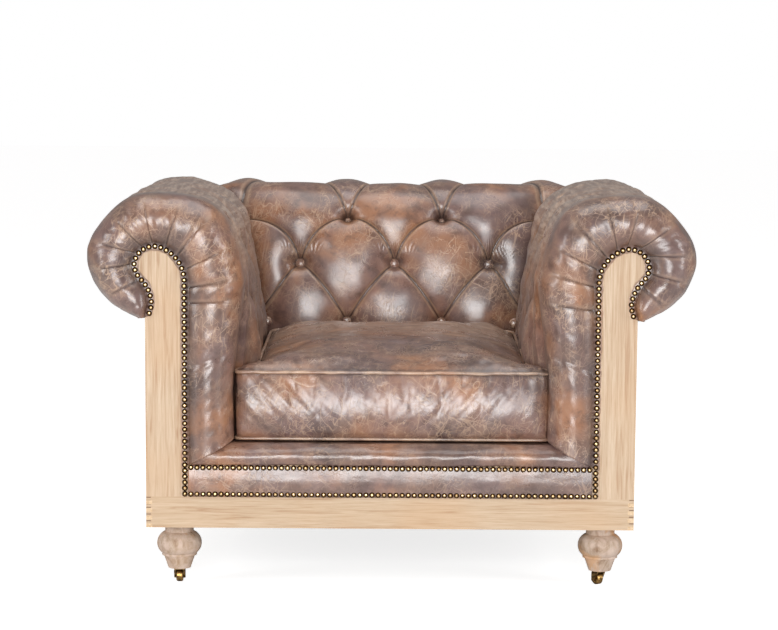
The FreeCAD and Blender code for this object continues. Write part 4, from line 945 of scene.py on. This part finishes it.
def rounded_run(name, section, half_widths, material, swell, seed, flip):
    """A closed section drawn along X between two slanting ends, with a slow wave in its face."""
    section = np.array(section, float)
    half = np.array(half_widths, float)
    share = np.linspace(-1, 1, 401)
    x = share[None, :] * half[:, None]
    y = np.repeat(section[:, :1], len(share), 1)
    z = np.repeat(section[:, 1:], len(share), 1)
    path = Path(np.vstack([section, section[:1]]))
    out = path.outward(path.length[:-1], 3.0)
    wave = ripple(x, z * 1.5 + y, seed, 170) * swell
    wave += ripple(x * 0.5, z * 2 + y, seed + 1, 40) * swell * 0.3
    near_end = np.clip((half[:, None] - np.abs(x)) / 20, 0, 1)
    alive = (section[:, 0] < -440).astype(float)[:, None] * near_end
    y = y + wave * alive * out[:, :1]
    z = z + wave * alive * out[:, 1:]
    points = np.stack([x, y, z], -1)
    ways = np.zeros((len(section) - 1, len(share) - 1), bool)
    blank_values = np.zeros(x.shape)
    values = {"fold": blank_values, "rub": blank_values, "streak": blank_values}
    made = closed_grid(name, points * MM, ways, values, flip)
    made.data.materials.append(material)
    return made


def lip_section():
    """Bulging face between the band and the seat, then flat back under the cushion."""
    low, high = np.array([-461.2, 243.6]), np.array([-438.0, 284.0])
    face = []
    for share in np.linspace(0, 1, 26):
        spot = low + (high - low) * share
        bulge = 14.5 * math.sin(math.pi * share ** 0.8)
        face.append((spot[0] - bulge * 0.88, spot[1] + bulge * 0.45))
    top = [(y, 284.0) for y in (-425, -400, -375, -360.5)]
    under = [(-360.5, 262.0), (-430.0, 243.6)]
    return face + top + under


section = lip_section()
widths = [np.interp(level, [243, 288], [391, 308]) for _, level in section]
lip = rounded_run("lip_leather", section, widths, band_leather, 0.9, 71, False)

shares = np.linspace(0, 1, 21)
band_section = [(NAIL_SKIN - 3.6 * math.sin(math.pi * share), 181.5 + 61.5 * share) for share in shares]
band_section += [(-459.2, 243.0), (-459.2, 181.5)]
band = rounded_run("band_leather", band_section, [392.5] * len(band_section), band_leather, 0.5, 72, False)


# The loose cushion: leather over fibre and feather, blown up by a cloth simulation


def rounded_outline(corners, radius, step=6.0):
    """Plan corners, each turned with a radius, as points about a step apart."""
    corners = np.array(corners, float)
    points = []
    for index in range(len(corners)):
        here, before, after = corners[index], corners[index - 1], corners[(index + 1) % len(corners)]
        one = (before - here) / np.linalg.norm(before - here)
        two = (after - here) / np.linalg.norm(after - here)
        cut = radius[index]
        for share in np.linspace(0, 1, 9):
            points.append(here + one * cut * (1 - share) ** 2 + two * cut * share ** 2)
    closed = Path(np.vstack([points, points[:1]]))
    count = int(closed.total / step)
    return closed.at(np.arange(count) * closed.total / count)


# The cushion's plan, which sits 3 mm to the right, with two ears at the front, and the turn at each corner.
CUSHION_PLAN = [
    (308, -416), (308, -372), (269, -344), (262, 137),
    (-256, 137), (-263, -344), (-302, -372), (-302, -416),
]
CUSHION_TURNS = [16, 14, 12, 30, 30, 12, 14, 16]
CUSHION_FOOT = 287.0


def seam_level(y):
    return np.interp(y, [-414, 137], [421, 446])


def cushion_start():
    """The flat-cut cover: a top, a wall and a bottom, a little smaller than it ends."""
    outline = rounded_outline(CUSHION_PLAN, CUSHION_TURNS)
    shape = bmesh.new()
    high = [shape.verts.new((x, y, seam_level(y))) for x, y in outline]
    low = [shape.verts.new((x, y, CUSHION_FOOT + 3)) for x, y in outline]
    shape.faces.new(high)
    shape.faces.new(low[::-1])
    count = len(outline)
    for index in range(count):
        after = (index + 1) % count
        shape.faces.new((low[index], low[after], high[after], high[index]))
    bmesh.ops.recalc_face_normals(shape, faces=shape.faces)
    mesh = bpy.data.meshes.new("cushion_leather")
    shape.to_mesh(mesh)
    shape.free()
    made = bpy.data.objects.new("cushion_leather", mesh)
    bpy.context.scene.collection.objects.link(made)
    mesh.vertices.foreach_set("co", (np.array([v.co for v in mesh.vertices]) * MM).ravel())
    return made


def read_points(mesh):
    points = np.empty(len(mesh.vertices) * 3)
    mesh.vertices.foreach_get("co", points)
    return points.reshape(-1, 3)


def settle(made):
    """Swap an object's mesh for what its modifiers give, and drop the modifiers."""
    graph = bpy.context.evaluated_depsgraph_get()
    mesh = bpy.data.meshes.new_from_object(made.evaluated_get(graph))
    made.modifiers.clear()
    made.data = mesh


def blow_up(made, pinned, pressure, most):
    """Pressure from inside for twenty frames, seams held, no point moving further than allowed."""
    before = read_points(made.data)
    group = made.vertex_groups.new(name="seams")
    for index in np.nonzero(pinned)[0]:
        group.add([int(index)], 1.0, "REPLACE")
    cover = made.modifiers.new("cover", "CLOTH")
    rules = cover.settings
    rules.quality = 5
    rules.mass = 0.35
    rules.tension_stiffness = 14
    rules.compression_stiffness = 10
    rules.shear_stiffness = 6
    rules.bending_stiffness = 0.6
    rules.vertex_group_mass = "seams"
    rules.use_pressure = True
    rules.uniform_pressure_force = pressure
    rules.shrink_min = -0.008
    rules.effector_weights.gravity = 0
    cover.point_cache.frame_start = 1
    cover.point_cache.frame_end = 20
    scene = bpy.context.scene
    for number in range(1, 21):
        scene.frame_set(number)
        bpy.context.view_layer.update()
    settle(made)
    scene.frame_set(1)
    after = read_points(made.data)
    moved = after - before
    size = np.maximum(np.linalg.norm(moved, axis=1, keepdims=True), 1e-9)
    after = before + moved * np.minimum(1, most / size)
    made.data.vertices.foreach_set("co", after.ravel())


def from_seam(x, y, seam):
    """How far each point is from the seam, seen from above."""
    return np.min(np.hypot(x[:, None] - seam[None, :, 0], y[:, None] - seam[None, :, 1]), 1)


def build_cushion():
    """The cushion: remeshed evenly, blown up, smoothed once, then creased and crowned."""
    made = cushion_start()
    grain = made.modifiers.new("grain", "REMESH")
    grain.mode = "VOXEL"
    grain.voxel_size = 0.006
    settle(made)
    points = read_points(made.data) / MM
    outline = rounded_outline(CUSHION_PLAN, CUSHION_TURNS)
    loop = Path(np.vstack([outline, outline[:1]]))
    x, y, z = points.T
    rim = from_seam(x, y, loop.points)
    top = seam_level(y)
    inside = np.clip(rim / 90, 0, 1)
    rise = 27 * (1 - (1 - inside) ** 2) * smooth_step(137, 60, y) ** 0.5
    z = np.where(z > top - 3, z + rise, z)
    points = np.stack([x, y, z], 1)
    seam = (rim < 4) & ((np.abs(z - top) < 4) | (z < CUSHION_FOOT + 7))
    made.data.vertices.foreach_set("co", (points * MM).ravel())
    blow_up(made, seam | (z < CUSHION_FOOT + 7), 4.0, 0.014)
    smooth = made.modifiers.new("even", "SUBSURF")
    smooth.levels = smooth.render_levels = 1
    settle(made)
    points = read_points(made.data) / MM
    x, y, z = points.T
    rim = from_seam(x, y, loop.points[::3])
    top = seam_level(y)
    on_front = (y < -396) & (z < top + 2)
    share = np.clip((z - CUSHION_FOOT) / (top - CUSHION_FOOT), 0, 1)
    lean = np.where(x < 0, x + z * 0.9, x - z * 0.9)
    wrinkle = ripple(lean, z * 0.25, 81, 60, 2) * 1.4 * np.sin(math.pi * share)
    wrinkle *= 0.4 + 0.6 * smooth_step(0, 230, np.abs(x))
    slow = ripple(x, z * 0.6, 82, 230, 2) * 1.3 * np.sin(math.pi * share)
    puff = 12.0 * np.sin(math.pi * share ** 0.62)
    y = np.where(on_front, y - puff + wrinkle + slow, y)
    on_top = z > top + 1
    crown_wave = ripple(x, y, 83, 210, 3) * 2.6 + ripple(x * 0.4, y, 84, 40, 2) * 0.8
    z = np.where(on_top, z + crown_wave * np.clip(rim / 60, 0, 1), z)
    made.data.vertices.foreach_set("co", (np.stack([x, y, z], 1) * MM).ravel())
    # Painted shade in a narrow band beside the seams, under the piping.
    seam_shade_mask = np.exp(-((np.abs(z - top) - 4) / 3.0) ** 2) * (rim < 14)
    marks = {
        "fold": 0.55 * seam_shade_mask,
        "rub": 0.0 * z,
        "streak": smooth_step(-260, 60, y) * on_top * 0.9,
    }
    for key, numbers in marks.items():
        attribute = made.data.attributes.new(key, "FLOAT", "POINT")
        attribute.data.foreach_set("value", numbers.astype(np.float32))
    made.data.polygons.foreach_set("use_smooth", [True] * len(made.data.polygons))
    made.data.materials.clear()
    made.data.materials.append(cushion_leather)
    return made


def build_piping():
    """Two cords of rolled leather round the cushion's seams."""
    outline = rounded_outline(CUSHION_PLAN, CUSHION_TURNS, 4.0)
    count = len(outline)
    ahead = np.roll(outline, -1, 0) - np.roll(outline, 1, 0)
    ahead /= np.linalg.norm(ahead, axis=1, keepdims=True)
    out = np.stack([ahead[:, 1], -ahead[:, 0]], 1)
    if np.sum(out * outline) < 0:
        out = -out
    points, faces = [], []
    for level in ("top", "foot"):
        base = len(points)
        height = seam_level(outline[:, 1]) if level == "top" else np.full(count, CUSHION_FOOT + 3.4)
        if level == "top":
            height = height + ripple(outline[:, 0], outline[:, 1], 3, 120) * 0.9
        for index in range(count):
            for side in range(10):
                angle = side * 2 * math.pi / 10
                reach = 1.6 + 3.3 * math.cos(angle)
                spot = outline[index] + out[index] * reach
                points.append((spot[0], spot[1], height[index] + 3.3 * math.sin(angle)))
        for index in range(count):
            after = (index + 1) % count
            for side in range(10):
                turn = (side + 1) % 10
                here, there = base + index * 10, base + after * 10
                faces.append((here + side, there + side, there + turn, here + turn))
    zero = np.zeros(len(points))
    worn = 0.6 + 0.35 * ripple(np.array(points)[:, 0], np.array(points)[:, 1], 9, 50)
    made = piece("cushion_cord", np.array(points) * MM, faces, {"fold": zero, "rub": worn, "streak": zero})
    made.data.materials.append(piping_leather)
    return made


cushion = build_cushion()
cord = build_piping()


# Joining the pieces to the frame


SOFT = (
    (back, "chair", ("back_pad",), "leather", 0.7),
    (arms[-1][0], "chair", ("arm_pad_left", "arm_front_pad_left"), "leather", 0.7),
    (arms[1][0], "chair", ("arm_pad_right", "arm_front_pad_right"), "leather", 0.7),
    (lip, "chair", ("seat_lip",), "leather", 0.7),
    (band, "chair", ("front_border",), "leather", None),
    (cushion, "cushion", ("seat_cushion",), "leather", 0.8),
    (cord, "cushion", ("cushion_piping",), "piping_leather", None),
    (arm_nails[-1], "chair", ("arm_nails_left",), "nail_brass", None),
    (arm_nails[1], "chair", ("arm_nails_right",), "nail_brass", None),
    (front_nails, "chair", ("front_nails",), "nail_brass", None),
    (back_buttons, "chair", ("back_buttons",), "button_leather", None),
    (arm_buttons, "chair", ("arm_buttons",), "button_leather", None),
)
for made, body, gone, slot_name, fill in SOFT:
    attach(made, body)
    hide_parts(*gone)

BY_SLOT = {
    "oak": post_oak,
    "limed_oak": leg_oak,
    "hidden_timber": beech,
    "leather": back_leather,
    "outside_leather": panel_leather,
    "button_leather": button_leather,
    "piping_leather": piping_leather,
    "nail_brass": nail_brass,
    "caster_brass": caster_brass,
    "wheel_brass": wheel_brass,
    "webbing": jute,
    "lining_cloth": lining,
}
LEVEL_GRAIN = {
    "front_plinth": board_oak,
    "rear_plinth": board_oak,
    "side_plinth_left": side_oak,
    "side_plinth_right": side_oak,
}
for thing in bpy.context.scene.objects:
    if thing.type != "MESH":
        continue
    for slot in thing.material_slots:
        stem = slot.material.name.split(".")[0] if slot.material else ""
        if stem in BY_SLOT:
            slot.material = LEVEL_GRAIN.get(thing.name, BY_SLOT[stem])


# Camera, light and floor


def look():
    """The photograph's view: a long lens a little above the seat, level with the roll."""
    data = bpy.data.cameras.new("camera")
    data.sensor_width = 36
    data.lens = 36 * 2603.62 / 778
    data.shift_x = (389 - 387.12) / 778
    data.shift_y = (420.816 - 315) / 778
    data.clip_end = 60
    camera = bpy.data.objects.new("camera", data)
    bpy.context.scene.collection.objects.link(camera)
    pitch, roll = math.radians(8.0), math.radians(0.385)
    camera.location = (-0.0068, -5.455, 1.0349)
    forward = Vector((0, math.cos(pitch), -math.sin(pitch)))
    camera.rotation_mode = "QUATERNION"
    turn = Matrix.Rotation(-roll, 4, forward)
    camera.rotation_quaternion = turn.to_quaternion() @ forward.to_track_quat("-Z", "Y")
    bpy.context.scene.camera = camera


def lamp(name, place, target, width, height, power, tint="#ffffff"):
    data = bpy.data.lights.new(name, "AREA")
    data.shape = "RECTANGLE"
    data.size, data.size_y, data.energy = width, height, power
    data.color = linear(tint)[:3]
    made = bpy.data.objects.new(name, data)
    made.location = place
    made.rotation_mode = "QUATERNION"
    made.rotation_quaternion = (Vector(target) - Vector(place)).to_track_quat("-Z", "Y")
    bpy.context.scene.collection.objects.link(made)


def studio():
    """A soft box in front, one above, a weak fill on each side, and a white sweep."""
    lamp("front soft box", (-0.4, -6.6, 1.45), (0, 0, 0.5), 3.4, 2.7, 285)
    lamp("overhead soft box", (0.0, -0.3, 2.9), (0, 0, 0.4), 2.4, 2.0, 30)
    lamp("left strip", (-3.0, -1.6, 1.3), (0, 0, 0.4), 0.8, 1.8, 30)
    lamp("right strip", (3.0, -1.6, 1.3), (0, 0, 0.4), 0.8, 1.8, 30)
    world = bpy.data.worlds.new("white sweep")
    bpy.context.scene.world = world
    world.use_nodes = True
    tree = world.node_tree
    ground = tree.nodes["Background"]
    ground.inputs["Color"].default_value = linear("#f4f2f2")
    ground.inputs["Strength"].default_value = 0.3
    seen = add(tree, "ShaderNodeBackground", None, {"Color": (1, 1, 1, 1)})
    camera_ray = add(tree, "ShaderNodeLightPath", out="Is Camera Ray")
    through = add(tree, "ShaderNodeLightPath", out="Is Transmission Ray")
    reach = add(tree, MATH, LARGER, {0: camera_ray, 1: through})
    blend = add(tree, "ShaderNodeMixShader", None, {0: reach, 1: ground.outputs[0], 2: seen})
    tree.links.new(blend, tree.nodes["World Output"].inputs[0])


def lay_floor():
    """A pale floor that keeps the chair's shadow and adds white only where the camera sees it."""
    size = 24.0
    corners = [(-size, -size, 0), (size, -size, 0), (size, size, 0), (-size, size, 0)]
    floor = piece("floor", corners, [(0, 1, 2, 3)])
    material, tree, shader, _ = blank("matt white floor")
    set_all_over(shader, Base_Color=linear("#f2f2f2"), Roughness=0.9, Specular_IOR_Level=0.1)
    camera_ray = add(tree, "ShaderNodeLightPath", out="Is Camera Ray")
    strength = add(tree, MATH, TIMES, {0: camera_ray, 1: 0.75})
    glow = add(tree, "ShaderNodeEmission", None, {"Color": (1, 1, 1, 1), "Strength": strength})
    both = add(tree, "ShaderNodeAddShader", None, {0: shader.outputs[0], 1: glow})
    tree.links.new(both, tree.nodes["Material Output"].inputs[0])
    floor.data.materials.append(material)


look()
studio()
lay_floor()
bpy.context.scene.view_settings.view_transform = "Standard"
